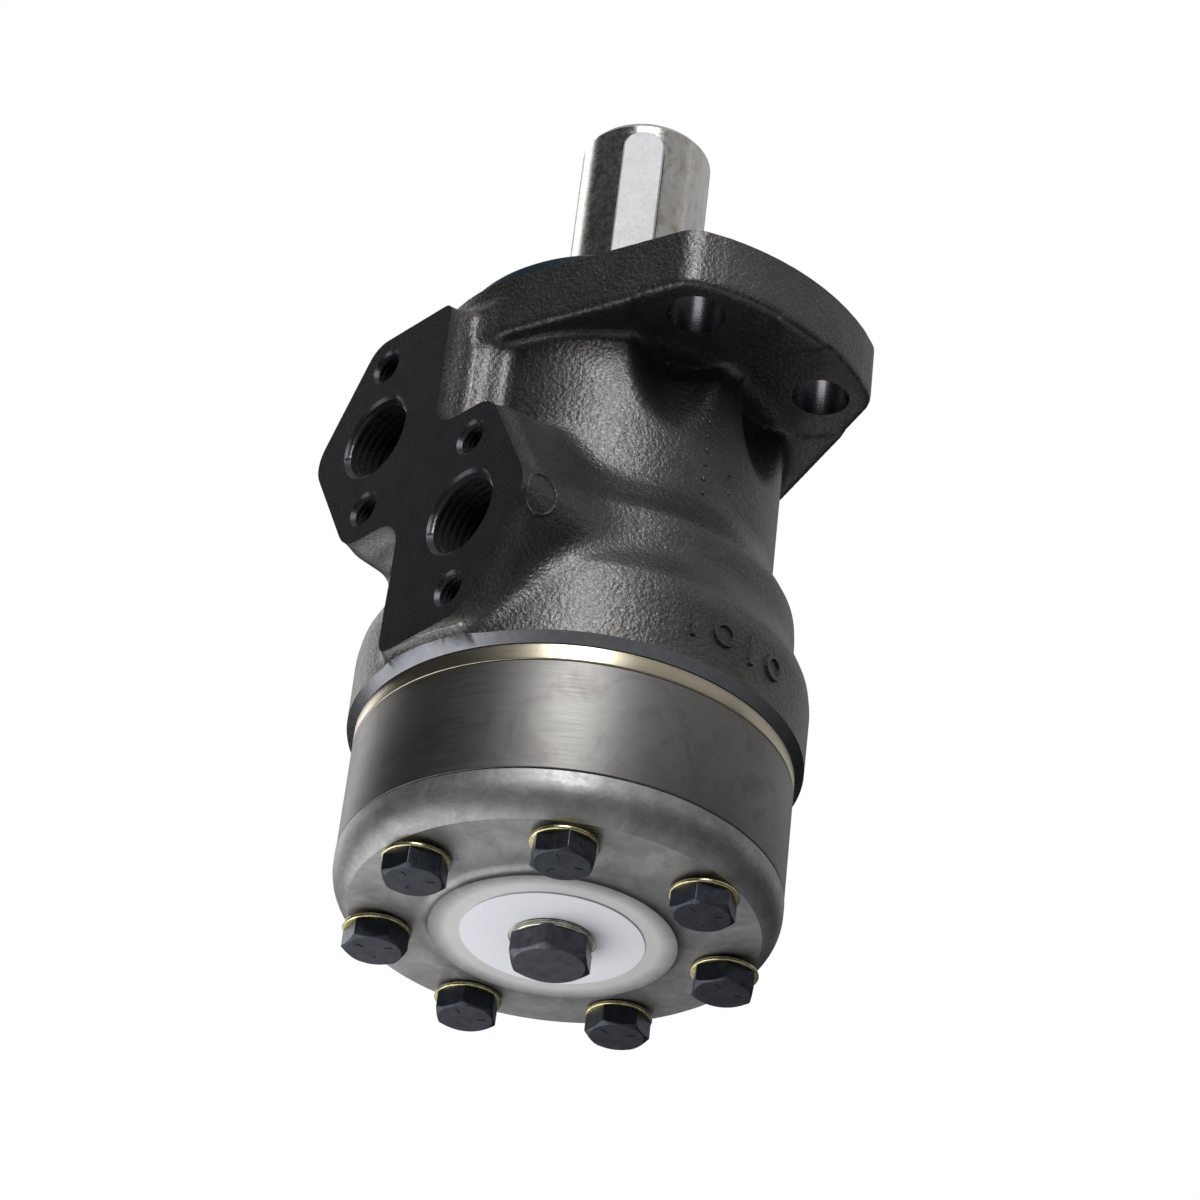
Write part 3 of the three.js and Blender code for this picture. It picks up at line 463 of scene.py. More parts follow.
def thread(minor, major, pitch, bottom, top, segments=64):
    """A screw-shaped solid for cutting a thread along Z."""
    rows_per_turn = len(THREAD_FORM)
    turns = math.ceil((top - bottom) / pitch)
    row_count = turns * rows_per_turn + 1
    vertices = []
    for row in range(row_count):
        place, share = THREAD_FORM[row % rows_per_turn]
        for index in range(segments):
            height = bottom + pitch * (row // rows_per_turn + place + index / segments - 1)
            x, y = polar(minor + (major - minor) * share, 360 * index / segments)
            vertices.append((x, y, height))

    def at(row, index):
        return (row + rows_per_turn * (index // segments)) * segments + index % segments

    last = row_count - 1 - rows_per_turn
    faces = [[at(row, i), at(row, i + 1), at(row + 1, i + 1), at(row + 1, i)]
             for row in range(last) for i in range(segments)]
    caps = []
    for row in (0, last):
        step_down = [at(row + k, 0) for k in range(rows_per_turn, 0, -1)]
        caps.append([at(row, i) for i in range(segments)] + step_down)
    for loop, flip in zip(caps, (True, False)):
        hub = len(vertices)
        vertices.append((0, 0, float(np.mean([vertices[v][2] for v in loop]))))
        for a, b in zip(loop, loop[1:] + loop[:1]):
            faces.append([hub, b, a] if flip else [hub, a, b])
    used = sorted({v for face in faces for v in face})
    number = {v: n for n, v in enumerate(used)}
    return [vertices[v] for v in used], [[number[v] for v in face] for face in faces]


def turned(degrees, axis="Z"):
    return Matrix.Rotation(math.radians(degrees), 3, axis)


def moved(shape, offset=(0, 0, 0), turn=None):
    vertices = np.asarray(shape[0], float)
    if turn is not None:
        vertices = vertices @ np.array(turn).T
    return vertices + np.array(offset), shape[1]


def together(*shapes):
    """Separate solids as one mesh."""
    vertices, faces, start = [], [], 0
    for points, polygons in shapes:
        vertices.extend(np.asarray(points, float).tolist())
        faces.extend([[v + start for v in polygon] for polygon in polygons])
        start += len(points)
    return vertices, faces


def combine(piece, shape, operation="DIFFERENCE"):
    """Cuts, joins or intersects a piece with a solid."""
    tool = make_piece("tool", shape)
    step = piece.modifiers.new("combine", "BOOLEAN")
    step.solver = "MANIFOLD"
    step.operation = operation
    step.object = tool
    graph = bpy.context.evaluated_depsgraph_get()
    result = bpy.data.meshes.new_from_object(piece.evaluated_get(graph))
    if len(result.polygons) == 0:
        raise RuntimeError(f"{operation} on {piece.name} left nothing")
    piece.modifiers.remove(step)
    old = piece.data
    piece.data = result
    bpy.data.meshes.remove(old)
    bpy.data.objects.remove(tool)


def out_of_port_face(shape, x, z):
    """Turns a shape made along Z so that its top comes out of the port face at x, z."""
    return moved(shape, (x, PORT_FACE_Y, z), turned(90, "X"))


# --- Material nodes -----------------------------------------------------------------------------


class Nodes:
    """Short ways to write a Principled material's node tree."""

    def __init__(self, name, roughness, metallic):
        self.material = bpy.data.materials.new(name)
        self.material.use_nodes = True
        self.tree = self.material.node_tree
        self.shader = self.tree.nodes["Principled BSDF"]
        self.set("Roughness", roughness)
        self.set("Metallic", metallic)
        self.place = self.add("ShaderNodeTexCoord").outputs["Object"]

    def add(self, kind, **settings):
        node = self.tree.nodes.new(kind)
        for key, value in settings.items():
            setattr(node, key, value)
        return node

    def link(self, source, target):
        self.tree.links.new(source, target)

    def put(self, value, target):
        """Gives a socket a number, a colour or another node's output."""
        if isinstance(value, bpy.types.NodeSocket):
            self.link(value, target)
        else:
            target.default_value = (*value, 1) if isinstance(value, tuple) else value

    def set(self, socket, value):
        self.put(value, self.shader.inputs[socket])

    def scaled(self, x, y, z):
        node = self.add("ShaderNodeMapping")
        node.inputs["Scale"].default_value = (x, y, z)
        self.link(self.place, node.inputs["Vector"])
        return node.outputs["Vector"]

    def noise(self, size, detail=3, roughness=0.6, place=None, distortion=0):
        """Noise whose features are about size millimetres across."""
        node = self.add("ShaderNodeTexNoise")
        settings = dict(Scale=1 / (size * MM), Detail=detail, Roughness=roughness, Distortion=distortion)
        for socket, value in settings.items():
            node.inputs[socket].default_value = value
        self.link(place or self.place, node.inputs["Vector"])
        return node.outputs["Fac"]

    def cells(self, size):
        node = self.add("ShaderNodeTexVoronoi")
        node.inputs["Scale"].default_value = 1 / (size * MM)
        self.link(self.place, node.inputs["Vector"])
        return node.outputs["Distance"]

    def ramp(self, source, *stops):
        """Stops are (place, colour or grey value)."""
        node = self.add("ShaderNodeValToRGB")
        elements = node.color_ramp.elements
        while len(elements) < len(stops):
            elements.new(0.5)
        for element, (place, colour) in zip(elements, stops):
            element.position = place
            colour = (colour,) * 3 if isinstance(colour, (int, float)) else colour
            element.color = (*colour, 1)
        self.link(source, node.inputs["Fac"])
        return node.outputs["Color"]

    def mix(self, share, first, second):
        node = self.add("ShaderNodeMix", data_type="RGBA")
        for socket, value in ((0, share), (6, first), (7, second)):
            self.put(value, node.inputs[socket])
        return node.outputs[2]

    def tint(self, tone, mask, share, colour):
        """Takes a tone part of the way to a colour where the mask is 1."""
        return self.mix(self.math("MULTIPLY", mask, share), tone, colour)

    def math(self, operation, *values):
        node = self.add("ShaderNodeMath", operation=operation)
        for socket, value in zip(node.inputs, values):
            self.put(value, socket)
        return node.outputs["Value"]

    def radius(self, centre=(0, 0), axes="XY"):
        """Distance in metres from a line through centre, in the plane of the two axes."""
        offsets = [self.math("SUBTRACT", self.coordinate(axis), part * MM)
                   for axis, part in zip(axes, centre)]
        squares = [self.math("MULTIPLY", offset, offset) for offset in offsets]
        return self.math("SQRT", self.math("ADD", *squares))

    def coordinate(self, axis):
        split = self.add("ShaderNodeSeparateXYZ")
        self.link(self.place, split.inputs["Vector"])
        return split.outputs[axis]

    def step(self, radius, first, last, before=0.0):
        """Goes from before to 1 - before between two radii in millimetres."""
        return self.ramp(radius, (first * MM, before), (last * MM, 1 - before))

    def rings(self, radius, pitch):
        """A wave that repeats every pitch millimetres of radius."""
        return self.math("SINE", self.math("MULTIPLY", radius, math.tau / (pitch * MM)))

    def bump(self, *layers):
        """Layers are (height field, depth in millimetres)."""
        normal = None
        for field, depth in layers:
            node = self.add("ShaderNodeBump")
            node.inputs["Strength"].default_value = 1
            node.inputs["Distance"].default_value = depth * MM
            self.link(field, node.inputs["Height"])
            if normal is not None:
                self.link(normal, node.inputs["Normal"])
            normal = node.outputs["Normal"]
        self.set("Normal", normal)


def cast_iron():
    n = Nodes("cast_iron", 0.42, 0.92)
    grain = n.noise(0.65, 2, 0.55)
    pits = n.cells(1.15)
    broad = n.noise(14, 4, 0.6)
    tone = n.ramp(broad, (0.3, (0.083, 0.081, 0.080)), (0.7, (0.115, 0.111, 0.107)))
    specks = n.ramp(n.noise(0.5, 1, 0.5), (0.62, 0.0), (0.74, 1.0))
    n.set("Roughness", n.ramp(grain, (0.3, 0.34), (0.7, 0.50)))
    n.set("Base Color", n.tint(tone, specks, 0.35, (0.33, 0.32, 0.29)))
    n.bump((broad, 0.35), (pits, 0.09), (grain, 0.14))
    return n.material


def machined_iron():
    """Face-milled iron under black coating, with the cutter's wide faint arcs."""
    n = Nodes("machined_iron", 0.42, 0.8)
    arcs = n.rings(n.radius((45, -150), "XZ"), 0.9)
    grain = n.noise(0.35, 3, 0.7)
    broad = n.noise(9, 5, 0.6)
    n.set("Base Color", n.ramp(broad, (0.3, (0.036, 0.033, 0.039)), (0.72, (0.056, 0.051, 0.059))))
    n.set("Roughness", n.ramp(grain, (0.3, 0.24), (0.75, 0.34)))
    n.bump((arcs, 0.0015), (grain, 0.012))
    return n.material


def bore_iron():
    """Bores, threads and the turned rear chamfer."""
    n = Nodes("bore_iron", 0.24, 0.95)
    grain = n.noise(0.4, 3, 0.7)
    n.set("Base Color", n.ramp(n.noise(3, 4), (0.3, (0.17, 0.177, 0.19)), (0.75, (0.22, 0.228, 0.245))))
    n.set("Roughness", n.ramp(grain, (0.3, 0.2), (0.75, 0.32)))
    n.bump((grain, 0.01))
    return n.material


def turned_steel(name, dark, light, roughness, ring_pitch, ring_depth, stain=None):
    """Turned or ground steel: fine marks round the axis, cloudy tone and a few stains."""
    n = Nodes(name, roughness, 1.0)
    around_axis = n.scaled(0.12, 0.12, 3.2)
    streak = n.noise(1.6, 4, 0.7, around_axis)
    cloud = n.noise(11, 5, 0.62, distortion=0.6)
    tone = n.ramp(cloud, (0.3, dark), (0.72, light))
    tone = n.mix(0.5, tone, n.ramp(streak, (0.3, dark), (0.7, light)))
    if stain:
        patch = n.ramp(n.noise(16, 6, 0.65, distortion=1.2), (0.52, 0.0), (0.68, 1.0))
        tone = n.tint(tone, patch, 0.5, stain)
    n.set("Base Color", tone)
    wear = n.noise(1.2, 4, 0.6, around_axis)
    n.set("Roughness", n.ramp(wear, (0.3, roughness - 0.03), (0.75, roughness + 0.05)))
    marks = n.rings(n.coordinate("Z"), ring_pitch)
    n.bump((marks, ring_depth), (n.noise(0.3, 2), 0.004))
    return n.material


def cover_steel():
    """End cover: turned face, pale boss, painted shade round its foot, painted highlight patches on the rim.
    """
    n = Nodes("cover_steel", 0.5, 0.85)
    radius = n.radius()
    cloud = n.noise(8, 6, 0.66, distortion=0.8)
    fine = n.noise(1.1, 4, 0.7)
    tone = n.ramp(cloud, (0.28, (0.205, 0.205, 0.21)), (0.5, (0.30, 0.30, 0.306)),
                  (0.74, (0.41, 0.41, 0.415)))
    tone = n.tint(tone, n.step(radius, 26.8, 27.4, 1.0), 0.8, (0.86, 0.85, 0.85))
    # Painted shade: a dark ring over the concave fillet at the foot of the boss.
    painted_foot_shade = n.math("MULTIPLY", n.step(radius, 27.2, 27.8), n.step(radius, 30.0, 32.2, 1.0))
    tone = n.tint(tone, painted_foot_shade, 0.6, (0.05, 0.048, 0.047))
    # Painted highlight: lighter patches along the cover's rounded edge, broken up by noise.
    rim_highlight_patches = n.ramp(n.noise(5, 6, 0.7, n.scaled(1, 1, 2.5), 1.5), (0.5, 0.0), (0.66, 1.0))
    painted_rim_highlight = n.math("MULTIPLY", n.step(radius, 44.0, 46.2), rim_highlight_patches)
    n.set("Base Color", n.tint(tone, painted_rim_highlight, 0.4, (0.45, 0.44, 0.42)))
    n.set("Roughness", n.ramp(fine, (0.25, 0.42), (0.78, 0.58)))
    n.bump((n.rings(radius, 0.42), 0.0022), (cloud, 0.05), (fine, 0.012))
    return n.material


def black_oxide(name="black_oxide", tint=(0.024, 0.028, 0.036)):
    n = Nodes(name, 0.36, 0.85)
    cloud = n.noise(2.5, 5, 0.65)
    brushed = n.noise(0.5, 3, 0.7, n.scaled(1, 1, 0.15))
    light = tuple(part * 2.4 for part in tint)
    n.set("Base Color", n.ramp(cloud, (0.3, tint), (0.75, light)))
    n.set("Roughness", n.ramp(brushed, (0.3, 0.28), (0.75, 0.46)))
    n.bump((cloud, 0.03), (brushed, 0.008))
    return n.material


def yellow_zinc(name="yellow_zinc", dark=(0.33, 0.29, 0.13), light=(0.78, 0.70, 0.42)):
    n = Nodes(name, 0.28, 1.0)
    n.set("Base Color", n.ramp(n.noise(2.2, 4, 0.6), (0.3, dark), (0.72, light)))
    n.set("Roughness", n.ramp(n.noise(0.8, 3), (0.3, 0.2), (0.7, 0.38)))
    n.bump((n.noise(0.9, 3), 0.02))
    return n.material


def shaft_steel():
    """Ground shaft with faint rust-brown stains beside the key."""
    n = Nodes("shaft_steel", 0.24, 1.0)
    along = n.scaled(1, 1, 0.3)
    cloud = n.noise(5, 5, 0.6, along)
    tone = n.ramp(cloud, (0.3, (0.50, 0.49, 0.465)), (0.7, (0.66, 0.65, 0.63)))
    stain = n.ramp(n.noise(6, 6, 0.7, n.scaled(1, 1, 0.45), 1.4), (0.5, 0.0), (0.68, 1.0))
    n.set("Base Color", n.tint(tone, stain, 0.7, (0.30, 0.21, 0.12)))
    n.set("Roughness", n.ramp(n.noise(1.4, 5, 0.7), (0.3, 0.18), (0.75, 0.33)))
    n.bump((n.rings(n.coordinate("Z"), 0.25), 0.0006), (n.noise(0.35, 2), 0.003))
    return n.material


def key_steel():
    n = Nodes("key_steel", 0.55, 0.1)
    cloud = n.noise(4, 5, 0.6)
    n.set("Base Color", n.ramp(cloud, (0.3, (0.42, 0.42, 0.435)), (0.7, (0.50, 0.50, 0.515))))
    n.set("Roughness", n.ramp(n.noise(0.6, 4), (0.3, 0.36), (0.75, 0.5)))
    n.bump((n.noise(0.4, 3), 0.006))
    return n.material


def coated(name, dark, light, roughness, metallic, size, depth):
    """Paint, rubber, paper and other even coats with a little tone and texture."""
    n = Nodes(name, roughness, metallic)
    n.set("Base Color", n.ramp(n.noise(size, 5, 0.6), (0.3, dark), (0.72, light)))
    n.set("Roughness", n.ramp(n.noise(size / 4, 3), (0.3, roughness - 0.06), (0.75, roughness + 0.08)))
    n.bump((n.noise(size / 5, 3), depth))
    return n.material


IRON = cast_iron()
MILLED = machined_iron()
BORED = bore_iron()
SHAFT_STEEL = shaft_steel()
KEY_STEEL = key_steel()
GOLD = turned_steel("straw_plate", (0.48, 0.43, 0.32), (0.60, 0.55, 0.43), 0.33, 0.35, 0.0012)
STATOR_STEEL = turned_steel("stator_steel", (0.165, 0.162, 0.156), (0.205, 0.20, 0.192), 0.46, 0.3,
                            0.0008, (0.10, 0.09, 0.085))
COVER_STEEL = cover_steel()
BLACK_OXIDE = black_oxide()
PLUG_BLACK = black_oxide("plug_black", (0.042, 0.045, 0.052))
ZINC = yellow_zinc()
PLUG_ZINC = yellow_zinc("plug_washer_zinc", (0.36, 0.35, 0.26), (0.80, 0.79, 0.70))
TEAL = coated("teal_paint", (0.012, 0.028, 0.036), (0.022, 0.045, 0.056), 0.36, 0.2, 6, 0.02)
LABEL = coated("label_paper", (0.82, 0.84, 0.90), (0.85, 0.87, 0.93), 0.55, 0.0, 12, 0.004)
RUBBER = coated("rubber", (0.012,) * 3, (0.03,) * 3, 0.7, 0.0, 2, 0.03)
BEARING_STEEL = turned_steel("bearing_steel", (0.42, 0.43, 0.45), (0.6, 0.61, 0.63), 0.2, 0.3, 0.0005)
GEAR_STEEL = turned_steel("gear_steel", (0.34, 0.34, 0.35), (0.5, 0.5, 0.52), 0.24, 0.4, 0.0006)
SPRING_STEEL = turned_steel("spring_steel", (0.3, 0.3, 0.31), (0.5, 0.5, 0.5), 0.25, 0.4, 0.0005)


def finish_piece(piece, body, material, node):
    """Smooths a piece, gives it its body and material, and lets it stand for a CAD node. The housing is
    painted face by face, so it comes here without a material."""
    piece.data.shade_smooth()
    piece.data.set_sharp_from_angle(angle=SHARP_ANGLE)
    if material is not None:
        piece.data.materials.clear()
        piece.data.materials.append(material)
    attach(piece, body)
    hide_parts(node)


# --- Housing ------------------------------------------------------------------------------------


def ring_rods(radius, bottom, top, circle, angles, segments):
    return [rod(radius, bottom, top, polar(circle, degrees), segments) for degrees in angles]


def ring_groove(bottom, top):
    """Cutter for a sealing ring's groove."""
    inner, outer = RING_GROOVE
    return lathe([(inner, bottom), (outer, bottom), (outer, top), (inner, top)], 128)


def housing_bores():
    """Cutters that don't touch each other."""
    start = HOUSING_REAR - CUT_MARGIN
    main = [(0, start), (SPOOL_BORE_RADIUS, start)]
    for _, z in sorted(PORTS, key=lambda port: port[1]):
        rear, front = z - GROOVE_HALF_WIDTH, z + GROOVE_HALF_WIDTH
        main += [(SPOOL_BORE_RADIUS, rear), (GROOVE_RADIUS, rear), (GROOVE_RADIUS, front),
                 (SPOOL_BORE_RADIUS, front)]
    main += [(SPOOL_BORE_RADIUS, -CHAMBER_DEPTH), (CHAMBER_RADIUS, -CHAMBER_DEPTH), (CHAMBER_RADIUS, -0.8),
             (CHAMBER_RADIUS + 3, 2.2), (0, 2.2)]
    screw_angles = [angle_of(node) for node in SCREW_NODES]
    check_angles = [angle_of(node) for node in numbered("check_seat", 2)]
    under_flange = -FLANGE_THICKNESS - FLANGE_HOLE_REACH
    cutters = [
        lathe(main, 96),
        ring_groove(start, HOUSING_REAR + RING_GROOVE_DEPTH),
        *ring_rods(BOLT_HOLE_RADIUS, start, BOLT_HOLE_TOP, circle_of("cover_bolt_1"), BOLT_ANGLES, 32),
        *ring_rods(TIMING_RADIUS, start, TIMING_TOP, TIMING_CIRCLE, BOLT_ANGLES, 24),
        *ring_rods(CHECK_BORE_RADIUS, start, CHECK_BORE_TOP, circle_of("check_seat_1"), check_angles, 32),
        *ring_rods(COVER_SCREW_HOLE_RADIUS, -COVER_SCREW_HOLE_DEPTH, 3, circle_of("front_cover_screw_1"),
                   screw_angles, 24),
        *ring_rods(FLANGE_HOLE_RADIUS, under_flange, 3, FLANGE_HOLE_CIRCLE, FLANGE_HOLE_ANGLES, 64),
    ]
    for x, z in PORTS:
        port = thread(**PORT_THREAD, bottom=-PORT_DEPTH, top=CUT_MARGIN, segments=72)
        cutters.append(out_of_port_face(port, x, z))
        for side in (-1, 1):
            hole = thread(**SCREW_THREAD, bottom=-SCREW_HOLE_DEPTH, top=CUT_MARGIN, segments=40)
            cutters.append(out_of_port_face(hole, x, z + side * SCREW_HOLE_OFFSET))
    return together(*cutters)


def housing_mouths():
    """Chamfers at the mouths of the threaded holes, and the oil passages behind the ports."""
    cutters = []
    for x, z in PORTS:
        cutters.append(out_of_port_face(lathe(PORT_MOUTH, 72), x, z))
        passage = rod(PORT_PASSAGE_RADIUS, PORT_FACE_Y - PORT_PASSAGE_END_Y, -PORT_DEPTH + 2.5, segments=48)
        cutters.append(out_of_port_face(passage, x, z))
        for side in (-1, 1):
            mouth = lathe(SCREW_MOUTH, 48)
            cutters.append(out_of_port_face(mouth, x, z + side * SCREW_HOLE_OFFSET))
    return together(*cutters)


def rear_trim():
    """What the lathe takes off the casting's rear: the end face and a chamfer round it."""
    outside, top, bottom = 80, HOUSING_REAR + CUT_MARGIN, HOUSING_REAR - 2 * CUT_MARGIN
    chamfer = [(REAR_CHAMFER_RADIUS, HOUSING_REAR), (REAR_CHAMFER_RADIUS + CUT_MARGIN, top), (outside, top),
               (outside, bottom), (0, bottom), (0, HOUSING_REAR)]
    return lathe(chamfer, 160)


def cast_marks():
    marks = []
    for azimuth, heights, size in DOT_ROWS:
        ball = [(0, -size), *[polar(size, angle) for angle in (-60, -30, 0, 30, 60)], (0, size)]
        marks += [moved(lathe(ball, 16), (*polar(DOT_CIRCLE, azimuth), z)) for z in heights]
    bar = block(*SIGN_BAR)
    ring = moved(lathe(SIGN_RING, 32), turn=turned(90, "Y"))
    for index, azimuth in enumerate(SIGN_AZIMUTHS):
        sign = ring if index % 2 else bar
        marks.append(moved(sign, (*polar(SIGN_CIRCLE, azimuth), SIGN_HEIGHT), turned(azimuth)))
    return together(*marks, badge())


def badge():
    """A plain round badge, drawn with a round wire that follows the port block's side."""
    across, along = BADGE_RADII
    turns = np.radians(np.arange(0, 360, 7.5))
    path_y = BADGE_CENTRE_Y + along * np.sin(turns)
    path_z = BADGE_CENTRE_Z + across * np.cos(turns)
    return tube(on_block_side(path_y, path_z), BADGE_WIRE)


def on_block_side(path_y, path_z):
    """Points where lines along -X first meet the casting."""
    reach = np.linspace(44, 28, 161)
    x, y = np.meshgrid(reach, path_y, indexing="ij")
    z = np.broadcast_to(path_z, x.shape)
    field = casting_field(*(part.reshape(-1, 1, 1) for part in (x, y, z))).reshape(x.shape)
    first = np.argmax(field < 0, axis=0)
    return np.stack([reach[first], path_y, path_z], axis=1)


def tube(path, radius, sides=8):
    """A closed loop of round wire through the points of a path that faces +X."""
    count = len(path)
    vertices = []
    for index in range(count):
        along = path[(index + 1) % count] - path[index - 1]
        side = np.cross(along, (1, 0, 0))
        side /= np.linalg.norm(side)
        up = np.cross(side, along)
        up /= np.linalg.norm(up)
        for step in range(sides):
            right, rise = polar(radius, 360 * step / sides)
            vertices.append(path[index] + side * right + up * rise)
    faces = []
    for index in range(count):
        for step in range(sides):
            here, there = index * sides, (index + 1) % count * sides
            other = (step + 1) % sides
            faces.append([here + step, here + other, there + other, there + step])
    return vertices, faces


def sampled(field, origin, step, points):
    """Field values at points, from the nearest samples round each."""
    place = (points - origin) / step
    base = np.clip(np.floor(place).astype(int), 0, np.array(field.shape) - 2)
    share = place - base
    total = np.zeros(len(points))
    for i in (0, 1):
        for j in (0, 1):
            for k in (0, 1):
                weight = np.prod(np.where((i, j, k), share, 1 - share), axis=1)
                total += weight * field[base[:, 0] + i, base[:, 1] + j, base[:, 2] + k]
    return total


def housing():
    """The casting, with the faces machined off it and the holes cut into it."""
    origin = np.array(CASTING_LOWEST)
    counts = np.ceil((CASTING_HIGHEST - origin) / CASTING_STEP).astype(int) + 1
    lines = [origin[axis] + CASTING_STEP * np.arange(counts[axis]) for axis in range(3)]
    x, y, z = np.meshgrid(*lines, indexing="ij", sparse=True)
    x, y, z = (np.broadcast_to(part, counts) for part in (x, y, z))
    field = casting_field(x, y, z)
    piece = make_piece("housing_casting", surface_of(field, origin, CASTING_STEP))
    combine(piece, cast_marks(), "UNION")
    combine(piece, block((-90, -90, 0), (90, 90, 20)))
    combine(piece, block((-90, PORT_FACE_Y - 20, -130), (90, PORT_FACE_Y, 20)))
    combine(piece, rear_trim())
    combine(piece, housing_bores())
    combine(piece, housing_mouths())
    paint_housing(piece, field, origin)
    finish_piece(piece, "root", None, "housing")


def face_values(mesh, name):
    values = np.zeros(len(mesh.polygons) * 3)
    mesh.polygons.foreach_get(name, values)
    return values.reshape(-1, 3)


def paint_housing(piece, field, origin):
    """Cast skin where the casting's own surface is, milled iron on the faces and bored iron in the holes."""
    mesh = piece.data
    mesh.materials.clear()
    for material in (IRON, MILLED, BORED):
        mesh.materials.append(material)
    centres, normals = (face_values(mesh, name) for name in ("center", "normal"))
    centres = centres / MM
    depth = sampled(field, origin, CASTING_STEP, centres)
    cast, milled, bored = range(3)
    index = np.where(depth < -SKIN_DEPTH, bored, cast)
    _, y, z = centres.T
    _, normal_y, normal_z = normals.T
    on_port_face = (y < PORT_FACE_Y + ON_FACE) & (normal_y < -FACING)
    on_flange_face = (z > -ON_FACE) & (normal_z > FACING)
    on_rear_face = (z < HOUSING_REAR + ON_FACE) & (normal_z < -FACING)
    radius = np.hypot(centres[:, 0], y)
    cone = radius - REAR_CHAMFER_RADIUS - (z - HOUSING_REAR)
    index[np.abs(cone) < ON_CHAMFER] = bored
    under_flange = -FLANGE_THICKNESS - FLANGE_HOLE_REACH
    in_flange_hole = (index == bored) & (radius > FLANGE_HOLE_INSIDE) & (z > under_flange)
    in_port_mouth = (index == bored) & (y < PORT_FACE_Y + PORT_MOUTH_DEPTH)
    index[on_port_face | on_flange_face | on_rear_face | in_flange_hole | in_port_mouth] = milled
    mesh.polygons.foreach_set("material_index", index.astype(np.int32))


# --- Front cover, seals and shaft ---------------------------------------------------------------

SHAFT_RADIUS = 16
SHAFT_HOLE_RADIUS = 16.3
SPIGOT_RADIUS = 29.2
SPIGOT_REAR = -8
DUST_SEAL_POCKET = 21
SHAFT_SEAL_POCKET = 22
KEY_WIDTH = 10
KEY_HEIGHT = 8
KEY_PROUD = 3
KEY_CHAMFER = 0.35
KEY_SLOT_GAP = 0.12
SEAT_GAP = 0.15
FRONT_GROOVE_HALF_WIDTH = 1.2
FRONT_GROOVE_DEPTH = 2.1
SCREW_RADIUS = 3
SCREW_HEAD_RADIUS = 5
SCREW_HEAD_HEIGHT = 6
SCREW_HEAD_POCKET = 5.35
SOCKET_ACROSS_FLATS = 5
SOCKET_DEPTH = 3
SPOOL_RADIUS = 20
COLLAR_RADIUS = 26
COLLAR_HEIGHTS = (-19.5, -13.5)
CENTRE_HOLE_RADIUS = 4
CENTRE_HOLE_DEPTH = 20
SPOOL_HOLLOW = [(15, -56), (11.3, -53), (11.3, -30), (0, -30)]
SPOOL_SLOT_COUNT = 12
SPOOL_SLOT_LOWEST = (18, -2, -95)


def front_cover():
    dust_floor = low("dust_seal")[2] - SEAT_GAP
    seal_bottom, seal_top = low("shaft_seal")[2] - SEAT_GAP, high("shaft_seal")[2] + SEAT_GAP
    groove = middle("front_cover_o_ring")[2]
    groove_low, groove_high = groove - FRONT_GROOVE_HALF_WIDTH, groove + FRONT_GROOVE_HALF_WIDTH
    groove_floor = SPIGOT_RADIUS - FRONT_GROOVE_DEPTH
    bottom = SEAT_GAP
    profile = rounded([
        (SHAFT_HOLE_RADIUS, SPIGOT_REAR, 0), (SPIGOT_RADIUS, SPIGOT_REAR, 0.5),
        (SPIGOT_RADIUS, groove_low, 0), (groove_floor, groove_low, 0),
        (groove_floor, groove_high, 0), (SPIGOT_RADIUS, groove_high, 0), (SPIGOT_RADIUS, bottom, 0),
        (PILOT_RADIUS, bottom, 0.2), (PILOT_RADIUS, PILOT_TOP - 1.0, 0.3),
        (PILOT_RADIUS - 1.0, PILOT_TOP, 0.3),
        (DUST_SEAL_POCKET + 0.5, PILOT_TOP, 0), (DUST_SEAL_POCKET, PILOT_TOP - 0.5, 0),
        (DUST_SEAL_POCKET, dust_floor, 0), (SHAFT_HOLE_RADIUS, dust_floor, 0),
        (SHAFT_HOLE_RADIUS, seal_top, 0),
        (SHAFT_SEAL_POCKET, seal_top, 0), (SHAFT_SEAL_POCKET, seal_bottom, 0),
        (SHAFT_HOLE_RADIUS, seal_bottom, 0),
    ], steps=4)
    piece = make_piece("front_cover_body", lathe(profile, 160))
    holes = []
    for node in SCREW_NODES:
        centre = middle(node)[:2]
        seat = high(node)[2] - SCREW_HEAD_HEIGHT - SEAT_GAP
        start = SPIGOT_REAR - 2
        pocket = [(0, start), (COVER_SCREW_HOLE_RADIUS, start), (COVER_SCREW_HOLE_RADIUS, seat),
                  (SCREW_HEAD_POCKET, seat), (SCREW_HEAD_POCKET, PILOT_TOP - 0.4),
                  (SCREW_HEAD_POCKET + 0.8, PILOT_TOP + 0.4), (0, PILOT_TOP + 0.4)]
        holes.append(lathe(pocket, 48, centre))
    combine(piece, together(*holes))
    finish_piece(piece, "root", TEAL, "front_cover")


def cover_screw(node):
    """A socket head cap screw."""
    centre = middle(node)[:2]
    bottom, top = span(node)
    head_low = top - SCREW_HEAD_HEIGHT
    profile = [(0, bottom, 0), (SCREW_RADIUS - 0.4, bottom, 0), (SCREW_RADIUS, bottom + 0.5, 0),
               (SCREW_RADIUS, head_low, 0), (SCREW_HEAD_RADIUS, head_low, 0.2), (SCREW_HEAD_RADIUS, top, 0.6),
               (0, top, 0)]
    piece = make_piece(f"{node}_body", lathe(rounded(profile, closed=False, steps=4), 72, centre))
    hexagon = [polar(SOCKET_ACROSS_FLATS / math.sqrt(3), 60 * side + 15) for side in range(6)]
    combine(piece, moved(prism(hexagon, top - SOCKET_DEPTH, top + 1), (*centre, 0)))
    mouth = lathe([(0, top - 0.35), (2.5, top - 0.35), (3.1, top + 0.3), (0, top + 0.3)], 48, centre)
    combine(piece, mouth)
    finish_piece(piece, "root", BLACK_OXIDE, node)


